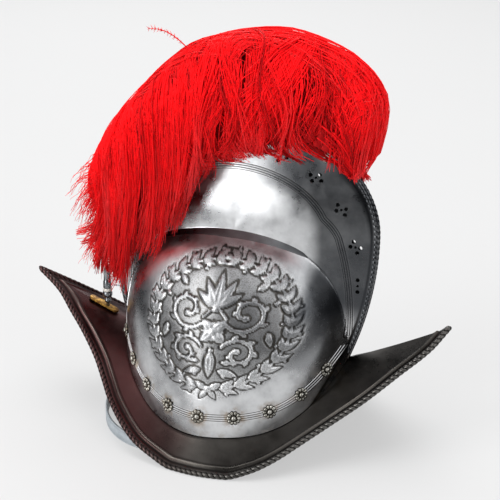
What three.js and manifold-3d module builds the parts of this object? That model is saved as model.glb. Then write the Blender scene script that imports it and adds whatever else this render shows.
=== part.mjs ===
import * as THREE from 'three';
import { mergeVertices } from 'three/addons/utils/BufferGeometryUtils.js';
import Module from 'manifold-3d';

const wasm = await Module();
wasm.setup();

// Driving sizes in millimetres. +X is the front, +Z is up, the floor is z = 0.
const TIP = 186;
const BRIM_HALF = 116;
const TIP_Z = 107;
const SHEET = 1.5;
const GAP = 0.35;
const ROPE_R = 2.2;
const FLOOR_GAP = 0.3;

// Brim: its collar stands inside the bowl, and a ridge runs inside its edge
const COLLAR_HIGH = 13;
const COLLAR_LEAN = 1.2;
const COLLAR_ROOM = 1.55;
const RIDGE_IN = 8.2;
const RIDGE_HALF = 2.25;
const RIDGE_HIGH = 0.75;
const DISH = 0.9;

// Foot of the bowl, seen from above an oval whose ends stand higher than its sides
const FOOT_X = 1.9;
const FOOT_HALF = 99.5;
const FOOT_W = 91.2;
const FOOT_POW = 1.67;
const FOOT_Z = 22.4;
const FOOT_RISE_BACK = 50;
const FOOT_RISE_FRONT = 47.5;

// Bowl and comb
const BOWL_TOP = 103;
const BOWL_TOP_Z = 72;
const COMB_X = 6;
const COMB_Z = 178;
const COMB_A = 118;
const COMB_B = 92;
const COMB_EDGE = 4.2;
const COMB_FLARE = 0.14;
const BLEND = 9;
const BEAD_R = 2.05;
const SEAM = 0.2;

// Half width that is free inside the brim's collar
const COLLAR_IN = SHEET + GAP + COLLAR_ROOM;
const INNER_W = FOOT_W - COLLAR_IN - SHEET;

// Share of the comb's outline that the upright lower part takes at each end
const COMB_LOW = 0.16;

// Grid counts of the faceted solids
const SKULL_U = 26;
const SKULL_V = 9;
const BRIM_N = 26;

// Edge of the brim: along the length, half width and height as shares of the sizes above
const BRIM_EDGE = [
  { x: -1.0, w: 0.0, z: 1.0 },
  { x: -0.87, w: 0.088, z: 0.88 },
  { x: -0.777, w: 0.192, z: 0.764 },
  { x: -0.683, w: 0.297, z: 0.645 },
  { x: -0.589, w: 0.412, z: 0.5 },
  { x: -0.526, w: 0.51, z: 0.38 },
  { x: -0.458, w: 0.63, z: 0.276 },
  { x: -0.355, w: 0.78, z: 0.172 },
  { x: -0.27, w: 0.872, z: 0.103 },
  { x: -0.16, w: 0.943, z: 0.042 },
  { x: -0.075, w: 0.978, z: 0.0 },
  { x: 0.06, w: 1.0, z: 0.0 },
  { x: 0.19, w: 0.975, z: 0.0 },
  { x: 0.29, w: 0.922, z: 0.056 },
  { x: 0.35, w: 0.868, z: 0.104 },
  { x: 0.41, w: 0.795, z: 0.164 },
  { x: 0.463, w: 0.715, z: 0.224 },
  { x: 0.58, w: 0.56, z: 0.362 },
  { x: 0.705, w: 0.435, z: 0.525 },
  { x: 0.824, w: 0.29, z: 0.7 },
  { x: 0.941, w: 0.142, z: 0.874 },
  { x: 1.0, w: 0.0, z: 1.0 },
];

const clamp = (v, a, b) => Math.min(b, Math.max(a, v));
const lerp = (a, b, t) => a + (b - a) * t;
const V = (x, y, z) => new THREE.Vector3(x, y, z);

// Cubic interpolation through the rows of a table
function lookup(rows, key, at, col) {
  const n = rows.length;
  let i = 0;
  while (i < n - 2 && at > rows[i + 1][key]) i += 1;
  const slope = (k) => {
    const a = Math.max(k - 1, 0);
    const b = Math.min(k + 1, n - 1);
    return (rows[b][col] - rows[a][col]) / (rows[b][key] - rows[a][key]);
  };
  const h = rows[i + 1][key] - rows[i][key];
  const t = clamp((at - rows[i][key]) / h, 0, 1);
  const flat = rows[i][col] === rows[i + 1][col];
  const m0 = flat ? 0 : slope(i) * h;
  const m1 = flat ? 0 : slope(i + 1) * h;
  const t2 = t * t;
  const t3 = t2 * t;
  return (2 * t3 - 3 * t2 + 1) * rows[i][col] + (t3 - 2 * t2 + t) * m0
    + (-2 * t3 + 3 * t2) * rows[i + 1][col] + (t3 - t2) * m1;
}

function brimEdge(e) {
  const w = Math.max(0, lookup(BRIM_EDGE, 'x', e, 'w')) * BRIM_HALF;
  const z = Math.max(0, lookup(BRIM_EDGE, 'x', e, 'z')) * TIP_Z;
  return V((TIP - 0.8 * ROPE_R) * e, -w, z + ROPE_R);
}

function footZ(c) {
  const a = Math.min(Math.abs(c), 1);
  return c < 0 ? FOOT_Z + FOOT_RISE_BACK * a ** 2.62 : FOOT_Z + FOOT_RISE_FRONT * a ** 4.13;
}

function footW(c) {
  const a = Math.min(Math.abs(c), 1);
  return FOOT_W * (1 - a ** FOOT_POW) ** 0.6;
}

function foot(c) {
  return V(FOOT_X + FOOT_HALF * c, -Math.max(footW(c), COMB_EDGE), footZ(c));
}

// X of the comb's upright ends at a height
function combBack(z) {
  const k = (COMB_Z - z) / (COMB_Z - footZ(-1));
  return COMB_X - COMB_A + (COMB_A - COMB_X + FOOT_X - FOOT_HALF) * k * k;
}

function combFront(z) {
  const k = (COMB_Z - z) / (COMB_Z - footZ(1));
  return COMB_X + COMB_A - (COMB_X + COMB_A - FOOT_X - FOOT_HALF) * k * k;
}

// Outline of the comb in the middle plane, u from the back foot to the front foot
function combOutline(u) {
  if (u < COMB_LOW) {
    const z = lerp(footZ(-1), COMB_Z, u / COMB_LOW);
    return [combBack(z), z];
  }
  if (u > 1 - COMB_LOW) {
    const z = lerp(footZ(1), COMB_Z, (1 - u) / COMB_LOW);
    return [combFront(z), z];
  }
  const a = Math.PI * (1 - (u - COMB_LOW) / (1 - 2 * COMB_LOW));
  return [COMB_X + COMB_A * Math.cos(a), COMB_Z + COMB_B * Math.sin(a)];
}

// Point of the outline with its outward and its forward direction
function combFrame(u) {
  const [x, z] = combOutline(u);
  const [ax, az] = combOutline(Math.max(u - 0.004, 0));
  const [bx, bz] = combOutline(Math.min(u + 0.004, 1));
  return {
    x,
    z,
    out: V(-(bz - az), 0, bx - ax).normalize(),
    tan: V(bx - ax, 0, bz - az).normalize(),
  };
}

// Distance from the comb's outline, measured inwards
function combDepth(x, z) {
  if (z >= COMB_Z) {
    const dx = x - COMB_X;
    const dz = z - COMB_Z;
    const r = Math.hypot(dx / COMB_A, dz / COMB_B);
    const d = Math.hypot(dx, dz);
    return r < 1e-6 ? COMB_B : (1 - r) * d / r;
  }
  return Math.min(combFront(z) - x, x - combBack(z));
}

// Half thickness of the helmet at a place in the middle plane
function halfWidth(x, z) {
  const comb = COMB_EDGE + COMB_FLARE * Math.max(combDepth(x, z), 0);
  const c = clamp((x - FOOT_X) / FOOT_HALF, -1, 1);
  const a = Math.abs(c);
  const top = BOWL_TOP_Z + BOWL_TOP * Math.max(1 - a ** 2.5, 0) ** 0.4;
  const low = footZ(c);
  const s = clamp((z - low) / Math.max(top - low, 1), 0, 1);
  const bowl = footW(c) * (1 - s ** 2.3) ** 0.55;
  const k = clamp(1 - Math.abs(bowl - comb) / BLEND, 0, 1);
  return Math.max(bowl, comb) + k * k * BLEND / 4;
}

function skin(x, z) {
  return V(x, -halfWidth(x, z), z);
}

function skinNormal(x, z) {
  const d = 0.6;
  const dx = (halfWidth(x + d, z) - halfWidth(x - d, z)) / (2 * d);
  const dz = (halfWidth(x, z + d) - halfWidth(x, z - d)) / (2 * d);
  const cap = (v) => clamp(v, -3.5, 3.5);
  return V(-cap(dx), -1, -cap(dz)).normalize();
}

// Closed solid from rings of points that all have the same count, with flat ends or joined ends
function ringSolid(rings, loop = false) {
  const n = rings[0].length;
  const pos = [];
  rings.forEach((ring) => ring.forEach((p) => pos.push(p.x, p.y, p.z)));
  const idx = [];
  const m = rings.length;
  const last = loop ? m : m - 1;
  for (let i = 0; i < last; i += 1) {
    for (let j = 0; j < n; j += 1) {
      const a = i * n + j;
      const b = i * n + (j + 1) % n;
      const c = ((i + 1) % m) * n + (j + 1) % n;
      const d = ((i + 1) % m) * n + j;
      const ac = rings[i][j].distanceTo(rings[(i + 1) % m][(j + 1) % n]);
      const bd = rings[i][(j + 1) % n].distanceTo(rings[(i + 1) % m][j]);
      if (ac <= bd) idx.push(a, b, c, a, c, d);
      else idx.push(a, b, d, b, c, d);
    }
  }
  if (!loop) {
    [0, m - 1].forEach((r) => {
      const ring = rings[r];
      const mid = ring.reduce((t, p) => t.add(p), V(0, 0, 0)).multiplyScalar(1 / n);
      const hub = pos.length / 3;
      pos.push(mid.x, mid.y, mid.z);
      for (let j = 0; j < n; j += 1) {
        const k = (j + 1) % n;
        if (r === 0) idx.push(hub, k, j);
        else idx.push(hub, r * n + j, r * n + k);
      }
    });
  }
  const g = new THREE.BufferGeometry();
  g.setAttribute('position', new THREE.Float32BufferAttribute(pos, 3));
  g.setIndex(idx);
  const f = mergeVertices(g, 1e-4);
  return faceOut(f);
}

function volume(g) {
  const p = g.attributes.position;
  const ix = g.index;
  let v = 0;
  for (let i = 0; i < ix.count; i += 3) {
    const a = new THREE.Vector3().fromBufferAttribute(p, ix.getX(i));
    const b = new THREE.Vector3().fromBufferAttribute(p, ix.getX(i + 1));
    const c = new THREE.Vector3().fromBufferAttribute(p, ix.getX(i + 2));
    v += a.dot(b.cross(c)) / 6;
  }
  return v;
}

function faceOut(g) {
  if (volume(g) >= 0) return g;
  const ix = g.index.array;
  for (let i = 0; i < ix.length; i += 3) {
    const t = ix[i];
    ix[i] = ix[i + 1];
    ix[i + 1] = t;
  }
  return g;
}

function toManifold(g) {
  const m = mergeVertices(new THREE.BufferGeometry().setAttribute('position', g.attributes.position.clone())
    .setIndex(g.index.clone()), 1e-4);
  const mesh = new wasm.Mesh({
    numProp: 3,
    vertProperties: new Float32Array(m.attributes.position.array),
    triVerts: new Uint32Array(m.index.array),
  });
  return new wasm.Manifold(mesh);
}

function fromManifold(man) {
  const mesh = man.getMesh();
  const g = new THREE.BufferGeometry();
  g.setAttribute('position', new THREE.Float32BufferAttribute(mesh.vertProperties, 3));
  g.setIndex([...mesh.triVerts]);
  return g;
}

function indexed(g) {
  const h = new THREE.BufferGeometry();
  h.setAttribute('position', g.attributes.position.clone());
  h.setIndex(g.index ? g.index.clone() : [...Array(g.attributes.position.count).keys()]);
  return mergeVertices(h, 1e-4);
}

// One half shell of bowl and comb, on the wearer's right, which has Y below zero
function halfShell() {
  const rings = [];
  for (let i = 0; i <= SKULL_U; i += 1) {
    const u = lerp(0.006, 0.994, i / SKULL_U);
    const { x: cx, z: cz, out } = combFrame(u);
    const c = -Math.cos(Math.PI * u);
    const f = foot(c);
    const bead = [0, 55, 110, 165].map((deg) => {
      const a = deg * Math.PI / 180;
      return V(cx, -SEAM - BEAD_R, cz)
        .addScaledVector(out, -BEAD_R + BEAD_R * Math.sin(a)).add(V(0, BEAD_R * Math.cos(a), 0));
    });
    const reach = Math.hypot(f.x - cx, f.z - cz);
    const start = Math.min((2 * BEAD_R + 0.5) / reach, 0.45);
    const outer = [];
    const inner = [];
    for (let j = 0; j <= SKULL_V; j += 1) {
      const v = lerp(start, 1, (j / SKULL_V) ** 0.92);
      const x = lerp(cx, f.x, v);
      const z = lerp(cz, f.z, v);
      const p = skin(x, z);
      const n = skinNormal(x, z);
      outer.push(p);
      const q = p.clone().addScaledVector(n, -SHEET);
      if (j === SKULL_V) q.z = f.z;
      q.y = Math.min(q.y, -4 * SEAM);
      inner.push(q);
    }
    rings.push([...bead, ...outer, ...inner.reverse()]);
  }
  return ringSolid(rings);
}

// The pierced groups follow a band on the comb, which is deepest where the comb is high
const BAND_MIN = 6;
const BAND_MAX = 41;
const BAND_LOW_Z = 84.3;
const BAND_SLOPE = 0.28;
const BAND_STEPS = 400;

// Path of the pierced groups, by distance along the comb
function combBand(share) {
  const pts = [];
  for (let i = 0; i <= BAND_STEPS; i += 1) {
    const { x, z, out } = combFrame(lerp(0.03, 0.97, i / BAND_STEPS));
    const d = clamp(BAND_MIN + (z - BAND_LOW_Z) * BAND_SLOPE, BAND_MIN, BAND_MAX) * share;
    pts.push(V(x - out.x * d, 0, z - out.z * d));
  }
  return pts;
}

const HOLE_MIDDLE_X = COMB_X + 3;
const HOLE_PITCH = 33.4;
const HOLE_GROUPS = 5;
const HOLE_R = 1.6;
const HOLE_R_SMALL = 1.05;
const HOLE_SPREAD = 5;
const BAND_SHARE = 0.6;

// Holes round the middle one of a group, along and out, as shares of the group's spread
const GROUP = [
  { along: -0.98, out: -0.18 },
  { along: 0.98, out: 0.18 },
  { along: 0.18, out: 0.78 },
  { along: -0.18, out: -0.78 },
];
const END_GROUP = [
  { along: -1.04, out: 0 },
  { along: 1.04, out: 0 },
];

function alongBand(pts, s) {
  const mid = pts.reduce((k, p, i) => (Math.abs(p.x - HOLE_MIDDLE_X) < Math.abs(pts[k].x - HOLE_MIDDLE_X)
    && p.z > COMB_Z ? i : k), Math.floor(pts.length / 2));
  let i = mid;
  let left = Math.abs(s);
  const step = s < 0 ? -1 : 1;
  while (left > 0 && i + step > 0 && i + step < pts.length - 1) {
    left -= pts[i].distanceTo(pts[i + step]);
    i += step;
  }
  const t = pts[i + 1].clone().sub(pts[i - 1]).normalize();
  return { at: pts[i], t, n: V(-t.z, 0, t.x) };
}

function pierceTools() {
  const band = combBand(BAND_SHARE);
  const tools = [];
  const drill = (p, r) => {
    const g = indexed(new THREE.CylinderGeometry(r, r, FOOT_W, 4, 1));
    g.translate(p.x, -FOOT_W / 2 - SEAM, p.z);
    tools.push(toManifold(g));
  };
  for (let k = -HOLE_GROUPS; k <= HOLE_GROUPS; k += 1) {
    const { at, t, n } = alongBand(band, k * HOLE_PITCH);
    (Math.abs(k) === HOLE_GROUPS ? END_GROUP : GROUP).forEach(({ along, out }) => {
      drill(at.clone().addScaledVector(t, along * HOLE_SPREAD).addScaledVector(n, out * HOLE_SPREAD), HOLE_R);
    });
    drill(at, HOLE_R_SMALL);
  }
  return tools;
}

// The raised ornament stands on the side of the bowl, a and b are millimetres on its skin
const ORN_X = 9.5;
const ORN_Z = 112;
const ORN_SX = 0.97;
const ORN_SZ = 0.8;

// Ornament pieces stand this deep in the wall, so that they join it
const LEAF_SINK = 1.1;
const RIB_SINK = 0.95;

function onBowl(a, b, lift) {
  const x = ORN_X + a * ORN_SX;
  const z = ORN_Z + b * ORN_SZ;
  return skin(x, z).addScaledVector(skinNormal(x, z), lift);
}

// A leaf lies on the skin from its stem to its tip, with a raised rib
function leafSolid(a, b, dir, len, half, rise) {
  const ca = Math.cos(dir);
  const sa = Math.sin(dir);
  const at = (t, s, lift) => onBowl(a + ca * len * t - sa * s, b + sa * len * t + ca * s, lift);
  const ring = [[0, 0], [0.42, -half], [1, 0], [0.42, half]].map(([t, s]) => at(t, s, -LEAF_SINK));
  const pts = [...ring, at(0.22, 0, rise * 0.9), at(0.68, 0, rise), at(0.45, 0, -LEAF_SINK)];
  const idx = [0, 1, 4, 1, 5, 4, 1, 2, 5, 2, 3, 5, 3, 4, 5, 3, 0, 4];
  for (let i = 0; i < 4; i += 1) idx.push((i + 1) % 4, i, 6);
  const g = new THREE.BufferGeometry();
  g.setAttribute('position', new THREE.Float32BufferAttribute(pts.flatMap((p) => [p.x, p.y, p.z]), 3));
  g.setIndex(idx);
  return faceOut(g);
}

// A raised bar of three sides along a curve on the skin
function ribSolid(path, half, rise) {
  const rings = path.map(([a, b], i) => {
    const p = path[Math.max(i - 1, 0)];
    const q = path[Math.min(i + 1, path.length - 1)];
    const l = Math.hypot(q[0] - p[0], q[1] - p[1]) || 1;
    const nx = -(q[1] - p[1]) / l;
    const nz = (q[0] - p[0]) / l;
    const w = half * (1 - 0.55 * (i / (path.length - 1)));
    const edge = (g) => onBowl(a + nx * g, b + nz * g, -RIB_SINK);
    return [edge(w), onBowl(a, b, rise), edge(-w)];
  });
  return ringSolid(rings);
}

const WREATH_R = 61;
const WREATH_LEAVES = 9;
const LEAF_LONG = 22;
const LEAF_HALF = 4.8;
const LEAF_RISE = 1.5;
const LEAF_SWING = 0.5;

function ornament() {
  const out = [];
  for (let side = -1; side <= 1; side += 2) {
    for (let i = 0; i < WREATH_LEAVES; i += 1) {
      const a = -Math.PI / 2 + side * lerp(0.16, 2.98, i / (WREATH_LEAVES - 1));
      const turn = (i % 2 === 0 ? -LEAF_SWING : LEAF_SWING) * side;
      const dir = a + side * Math.PI / 2 + turn;
      const [x, z] = [WREATH_R * Math.cos(a), WREATH_R * Math.sin(a)];
      out.push(leafSolid(x, z, dir, LEAF_LONG, LEAF_HALF, LEAF_RISE));
    }
  }
  return out;
}

// Scrolls on both sides of the middle: place, radius and half width as shares of the wreath's radius,
// count of turns and start in turns
const SCROLLS = [
  { a: 0.41, b: 0.23, r: 0.295, half: 0.033, turns: 1.15, start: 0.6 },
  { a: 0.361, b: -0.393, r: 0.246, half: 0.031, turns: -1.1, start: 0.425 },
];

// Leaves of the middle: place, length and half width as shares of the wreath's radius, turn in radians
const LEAVES = [
  { a: 0.115, b: -0.656, turn: -0.35, len: 0.279, half: 0.062 },
  { a: -0.115, b: -0.656, turn: Math.PI + 0.35, len: 0.279, half: 0.062 },
  { a: 0, b: 0.311, turn: Math.PI / 2 - 1, len: 0.377, half: 0.072 },
  { a: 0, b: 0.311, turn: Math.PI / 2 - 0.5, len: 0.443, half: 0.072 },
  { a: 0, b: 0.311, turn: Math.PI / 2, len: 0.508, half: 0.072 },
  { a: 0, b: 0.311, turn: Math.PI / 2 + 0.5, len: 0.443, half: 0.072 },
  { a: 0, b: 0.311, turn: Math.PI / 2 + 1, len: 0.377, half: 0.072 },
  { a: 0, b: -0.049, turn: Math.PI * 0.25, len: 0.246, half: 0.082 },
  { a: 0, b: -0.049, turn: Math.PI * 0.75, len: 0.246, half: 0.082 },
  { a: 0, b: -0.049, turn: Math.PI * 1.25, len: 0.246, half: 0.082 },
  { a: 0, b: -0.049, turn: Math.PI * 1.75, len: 0.246, half: 0.082 },
  { a: 0, b: -0.361, turn: -Math.PI / 2, len: 0.426, half: 0.079 },
];
const SCROLL_STEPS = 6;
const SCROLL_SHRINK = 0.78;
const SCROLL_RISE = 1.3;

function scrollPath(side, row) {
  const path = [];
  for (let i = 0; i <= SCROLL_STEPS; i += 1) {
    const t = i / SCROLL_STEPS;
    const r = row.r * (1 - SCROLL_SHRINK * t);
    const a = 2 * Math.PI * (row.start + row.turns * t);
    path.push([side * WREATH_R * (row.a + r * Math.cos(a)), WREATH_R * (row.b + r * Math.sin(a))]);
  }
  return path;
}

function centralDesign() {
  const scrolls = SCROLLS.flatMap((row) => [-1, 1].map((side) => ribSolid(scrollPath(side, row),
    row.half * WREATH_R, SCROLL_RISE)));
  const leaves = LEAVES.map(({ a, b, turn, len, half }) => leafSolid(a * WREATH_R, b * WREATH_R, turn,
    len * WREATH_R, half * WREATH_R, LEAF_RISE));
  return [...scrolls, ...leaves];
}

// Flower washers with a domed rivet, by their place on the foot of the bowl
const ROSETTES = 9;
const ROSETTE_UP = 17.5;
const ROSETTE_R = 5.7;
const ROSETTE_HIGH = 3.4;
const ROSETTE_START = 32;
const ROSETTE_END = 34;
const SHANK_R = 1.15;
const FOOT_STEPS = 600;

function rosettePlaces() {
  const pts = [];
  for (let i = 0; i <= FOOT_STEPS; i += 1) pts.push(foot(-Math.cos(Math.PI * i / FOOT_STEPS)));
  const len = [0];
  for (let i = 1; i <= FOOT_STEPS; i += 1) len.push(len[i - 1] + pts[i].distanceTo(pts[i - 1]));
  const total = len[FOOT_STEPS];
  const places = [];
  for (let k = 0; k < ROSETTES; k += 1) {
    const want = lerp(ROSETTE_START, total - ROSETTE_END, k / (ROSETTES - 1));
    const i = len.findIndex((l) => l >= want);
    const x = pts[i].x;
    const z = pts[i].z + ROSETTE_UP;
    places.push({ p: skin(x, z), n: skinNormal(x, z) });
  }
  return places;
}

function turned(profile, seg, wave = 0) {
  const pts = profile.map(([r, h]) => new THREE.Vector2(r, h));
  const g = indexed(new THREE.LatheGeometry(pts, seg));
  if (wave > 0) {
    const p = g.attributes.position;
    for (let i = 0; i < p.count; i += 1) {
      const r = Math.hypot(p.getX(i), p.getZ(i));
      if (r > 0.6 * ROSETTE_R) {
        const a = Math.atan2(p.getZ(i), p.getX(i));
        const f = 1 + wave * Math.cos(a * seg / 2);
        p.setX(i, p.getX(i) * f);
        p.setZ(i, p.getZ(i) * f);
      }
    }
  }
  const clean = [];
  const ix = g.index.array;
  for (let i = 0; i < ix.length; i += 3) {
    if (ix[i] !== ix[i + 1] && ix[i + 1] !== ix[i + 2] && ix[i] !== ix[i + 2]) {
      clean.push(ix[i], ix[i + 1], ix[i + 2]);
    }
  }
  g.setIndex(clean);
  return faceOut(g);
}

function aimed(g, p, n) {
  const q = new THREE.Quaternion().setFromUnitVectors(V(0, 1, 0), n);
  g.applyMatrix4(new THREE.Matrix4().compose(p, q, V(1, 1, 1)));
  return g;
}

const rosetteProfile = [[0, -0.73 * SHEET], [SHANK_R, -0.73 * SHEET], [SHANK_R, GAP], [ROSETTE_R, GAP],
  [ROSETTE_R * 0.93, ROSETTE_HIGH * 0.43], [ROSETTE_R * 0.42, ROSETTE_HIGH * 0.38], [0, ROSETTE_HIGH]];

function mirrored(g) {
  const h = g.clone();
  h.scale(1, -1, 1);
  return faceOut(h);
}

// Brim: a ring of closed sections from the collar inside the bowl to the roped edge
function brimRing(e, side) {
  const c = Math.sin(Math.PI / 2 * e);
  const edge = brimEdge(e);
  const d = 0.004;
  const p0 = foot(clamp(c - d, -1, 1));
  const p1 = foot(clamp(c + d, -1, 1));
  const w = footW(c);
  const base = V(FOOT_X + FOOT_HALF * c, -w, footZ(c));
  const t = Math.abs(e) > 0.999 ? V(0, 1, 0) : V(p1.x - p0.x, p1.y - p0.y, 0).normalize();
  const into = Math.abs(e) > 0.999 ? V(-Math.sign(e), 0, 0) : V(-t.y, t.x, 0);
  const run = edge.clone().sub(base);
  const len = run.length();
  const e0 = brimEdge(clamp(e - 0.01, -1, 1));
  const e1 = brimEdge(clamp(e + 0.01, -1, 1));
  const te = e1.sub(e0).normalize();
  let nrm = te.clone().cross(run).normalize();
  if (Math.abs(e) > 0.999) nrm = V(-run.z * Math.sign(run.x), 0, Math.abs(run.x)).normalize();
  if (nrm.z < 0) nrm.negate();
  const sinA = Math.max(te.clone().cross(run.clone().normalize()).length(), 0.35);
  const q = (mm) => 1 - mm / (len * sinA);
  const up = (s, lift) => base.clone().addScaledVector(run, s).addScaledVector(nrm, lift);
  const collar = (off, z) => base.clone().addScaledVector(into, off).setZ(z);
  const colTop = base.z + COLLAR_HIGH;
  const dir = run.clone().normalize();
  const rope = (deg) => {
    const a = deg * Math.PI / 180;
    return edge.clone().addScaledVector(dir, ROPE_R * Math.sin(a)).addScaledVector(nrm, ROPE_R * Math.cos(a));
  };
  const down = V(0, 0, -GAP - 0.35);
  const ring = [
    collar(COLLAR_IN + COLLAR_LEAN, colTop),
    collar(COLLAR_IN, base.z + 0.2),
    up(0, 0).add(down),
    up(0.45, -DISH),
    up(q(RIDGE_IN + RIDGE_HALF), -DISH * 0.67),
    up(q(RIDGE_IN), RIDGE_HIGH),
    up(q(RIDGE_IN - RIDGE_HALF), -DISH * 0.33),
    rope(-15),
    rope(62),
    rope(140),
    rope(205),
    up(0.45, -DISH - SHEET),
    collar(COLLAR_IN + SHEET, base.z - SHEET - 1.2),
    collar(COLLAR_IN + SHEET + COLLAR_LEAN, colTop),
  ];
  if (side > 0) ring.forEach((p) => { p.y = -p.y; });
  return ring;
}

function brimSolid() {
  const rings = [];
  const at = (i) => {
    const s = -1 + 2 * i / BRIM_N;
    return Math.sign(s) * (1 - (1 - Math.abs(s)) ** 1.25);
  };
  for (let i = 0; i <= BRIM_N; i += 1) rings.push(brimRing(at(i), -1));
  for (let i = BRIM_N - 1; i >= 1; i -= 1) rings.push(brimRing(at(i), 1));
  return ringSolid(rings, true);
}

// Plume: the barbs in locks on the quill, astride the comb. The locks hang straight down.
const PLUME_HIGH = 76;
const PLUME_WIDE = 44;
const PLUME_DROP = 86;
const PLUME_LEAN = 7;
const PLUME_FROM = 0.155;
const PLUME_TO = 0.7;
const PLUME_LOCKS = 11;
const PLUME_CLEAR = 2.9;

// Sections along the comb, as shares of the sizes above
const PLUME = [
  { u: PLUME_FROM, high: 0.224, wide: 0.295, drop: 0.419, ahead: 0, lean: -1 },
  { u: 0.2, high: 0.303, wide: 0.5, drop: 0.605, ahead: -0.143, lean: -0.571 },
  { u: 0.26, high: 0.329, wide: 0.705, drop: 1, ahead: -0.143, lean: -0.143 },
  { u: 0.35, high: 0.447, wide: 0.864, drop: 0.977, ahead: -0.286, lean: 0 },
  { u: 0.41, high: 0.645, wide: 0.955, drop: 0.884, ahead: -0.143, lean: 0 },
  { u: 0.46, high: 0.829, wide: 1, drop: 0.488, ahead: 0, lean: 0 },
  { u: 0.55, high: 1, wide: 1, drop: 0.233, ahead: 0.286, lean: 0 },
  { u: 0.61, high: 1, wide: 0.909, drop: 0.186, ahead: 0.286, lean: 0.286 },
  { u: 0.66, high: 0.842, wide: 0.682, drop: 0.081, ahead: 0.571, lean: 0.571 },
  { u: PLUME_TO, high: 0.342, wide: 0.295, drop: 0.058, ahead: 0.571, lean: 0.857 },
];

function plumeRing(u, lock) {
  const { x, z, out, tan } = combFrame(u);
  const get = (col, size) => lookup(PLUME, 'u', u, col) * size;
  const high = get('high', PLUME_HIGH) * (lock ? 1 : 0.95);
  const wide = get('wide', PLUME_WIDE) * (lock ? 1 : 0.88);
  const drop = get('drop', PLUME_DROP) * (lock ? 1 : 0.72);
  const ahead = get('ahead', PLUME_LEAN);
  const lean = get('lean', PLUME_LEAN);
  const crown = (r, y, f) => V(x, 0, z).addScaledVector(out, r).addScaledVector(tan, ahead * f).setY(y);
  const hang = (f, y) => {
    const px = x + lean * f;
    const pz = z - drop * f;
    const around = [-0.2, 0, 0.2].map((g) => halfWidth(px, pz - drop * g));
    const clear = Math.max(...around) + PLUME_CLEAR + 1;
    return V(px, Math.max(y, clear), pz);
  };
  const hem = hang(1, 0);
  const half = [
    crown(PLUME_CLEAR + 1.2, 0, 0),
    crown(PLUME_CLEAR, COMB_EDGE + PLUME_CLEAR, 0),
    hang(0.33, 0),
    hang(0.68, 0),
    hem,
    hang(0.9, Math.max(hem.y + PLUME_CLEAR, wide * 0.8)),
    hang(0.4, Math.max(hang(0.4, 0).y + 2 * PLUME_CLEAR, wide)),
    crown(high * 0.3, wide * 0.98, 0.6),
    crown(high * 0.8, wide * 0.58, 0.9),
    crown(high, 0, 1),
  ];
  const right = half.map((p) => V(p.x, -p.y, p.z));
  const left = half.slice(1, -1).reverse();
  return [...right, ...left];
}

function tube(points, r, seg, steps) {
  const curve = new THREE.CatmullRomCurve3(points);
  const circle = new THREE.Shape(Array.from({ length: seg }, (_, i) => new THREE.Vector2(
    r * Math.cos(2 * Math.PI * i / seg), r * Math.sin(2 * Math.PI * i / seg))));
  return faceOut(indexed(new THREE.ExtrudeGeometry(circle, {
    steps, curveSegments: 1, bevelEnabled: false, extrudePath: curve })));
}

// The socket stands on the crest of the brim, behind the bowl's foot
const SOCKET_OUT = 22;
const SOCKET_X = FOOT_X - FOOT_HALF - SOCKET_OUT;
const CREST_SLOPE = Math.atan2(TIP_Z + ROPE_R - FOOT_Z - FOOT_RISE_BACK, TIP - FOOT_HALF + FOOT_X);
const crestZ = (x) => footZ(-1) + (FOOT_X - FOOT_HALF - x) * Math.tan(CREST_SLOPE);
const SOCKET_Z = crestZ(SOCKET_X);
const STEM_R = 1.5;
const NECK_R = 2.4;
const CUP_R = 4.3;
const TUBE_R = 3.6;
const TUBE_TOP_R = 2.6;
const BORE_R = 1.75;
const CUP_UP = 11;
const NECK_UP = 15.2;
const NECK_LONG = 3.4;
const TUBE_UP = 39.4;
const BORE_DEEP = 12.5;
const QUILL_R = 1.3;
const QUILL_LONG = 76;

function plumeSolid() {
  const rings = [];
  const n = PLUME_LOCKS * 2;
  for (let i = 0; i <= n; i += 1) rings.push(plumeRing(lerp(PLUME_FROM, PLUME_TO, i / n), i % 2 === 1));
  const low = SOCKET_Z + TUBE_UP - BORE_DEEP + 1.5;
  const quill = tube([V(SOCKET_X, 0, low), V(SOCKET_X, 0, low + QUILL_LONG * 0.184),
    V(SOCKET_X - QUILL_R * 0.46, 0, low + QUILL_LONG * 0.526),
    V(SOCKET_X + QUILL_R * 0.77, 0, low + QUILL_LONG)],
  QUILL_R, 6, 6);
  return fromManifold(toManifold(ringSolid(rings)).add(toManifold(quill)));
}

// Chin strap: bottom edge of the half loop from the rivet to the back, where it lies on the floor.
// Shares of the foot's half length, of the half width inside the collar and of the foot's height
const STRAP = [
  { x: 0.141, y: 0.957, z: 1.138 },
  { x: 0.06, y: 0.964, z: 1.004 },
  { x: -0.03, y: 0.961, z: 0.692 },
  { x: -0.111, y: 0.955, z: 0.384 },
  { x: -0.201, y: 0.971, z: 0.143 },
  { x: -0.322, y: 1.02, z: 0.04 },
  { x: -0.492, y: 1.054, z: 0 },
  { x: -0.683, y: 0.985, z: 0 },
  { x: -0.874, y: 0.811, z: 0 },
  { x: -1.015, y: 0.568, z: 0 },
  { x: -1.106, y: 0.278, z: 0 },
  { x: -1.136, y: 0, z: 0 },
];
const STRAP_W = 11;
const STRAP_T = 2;
const STRAP_STEPS = 30;

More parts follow.
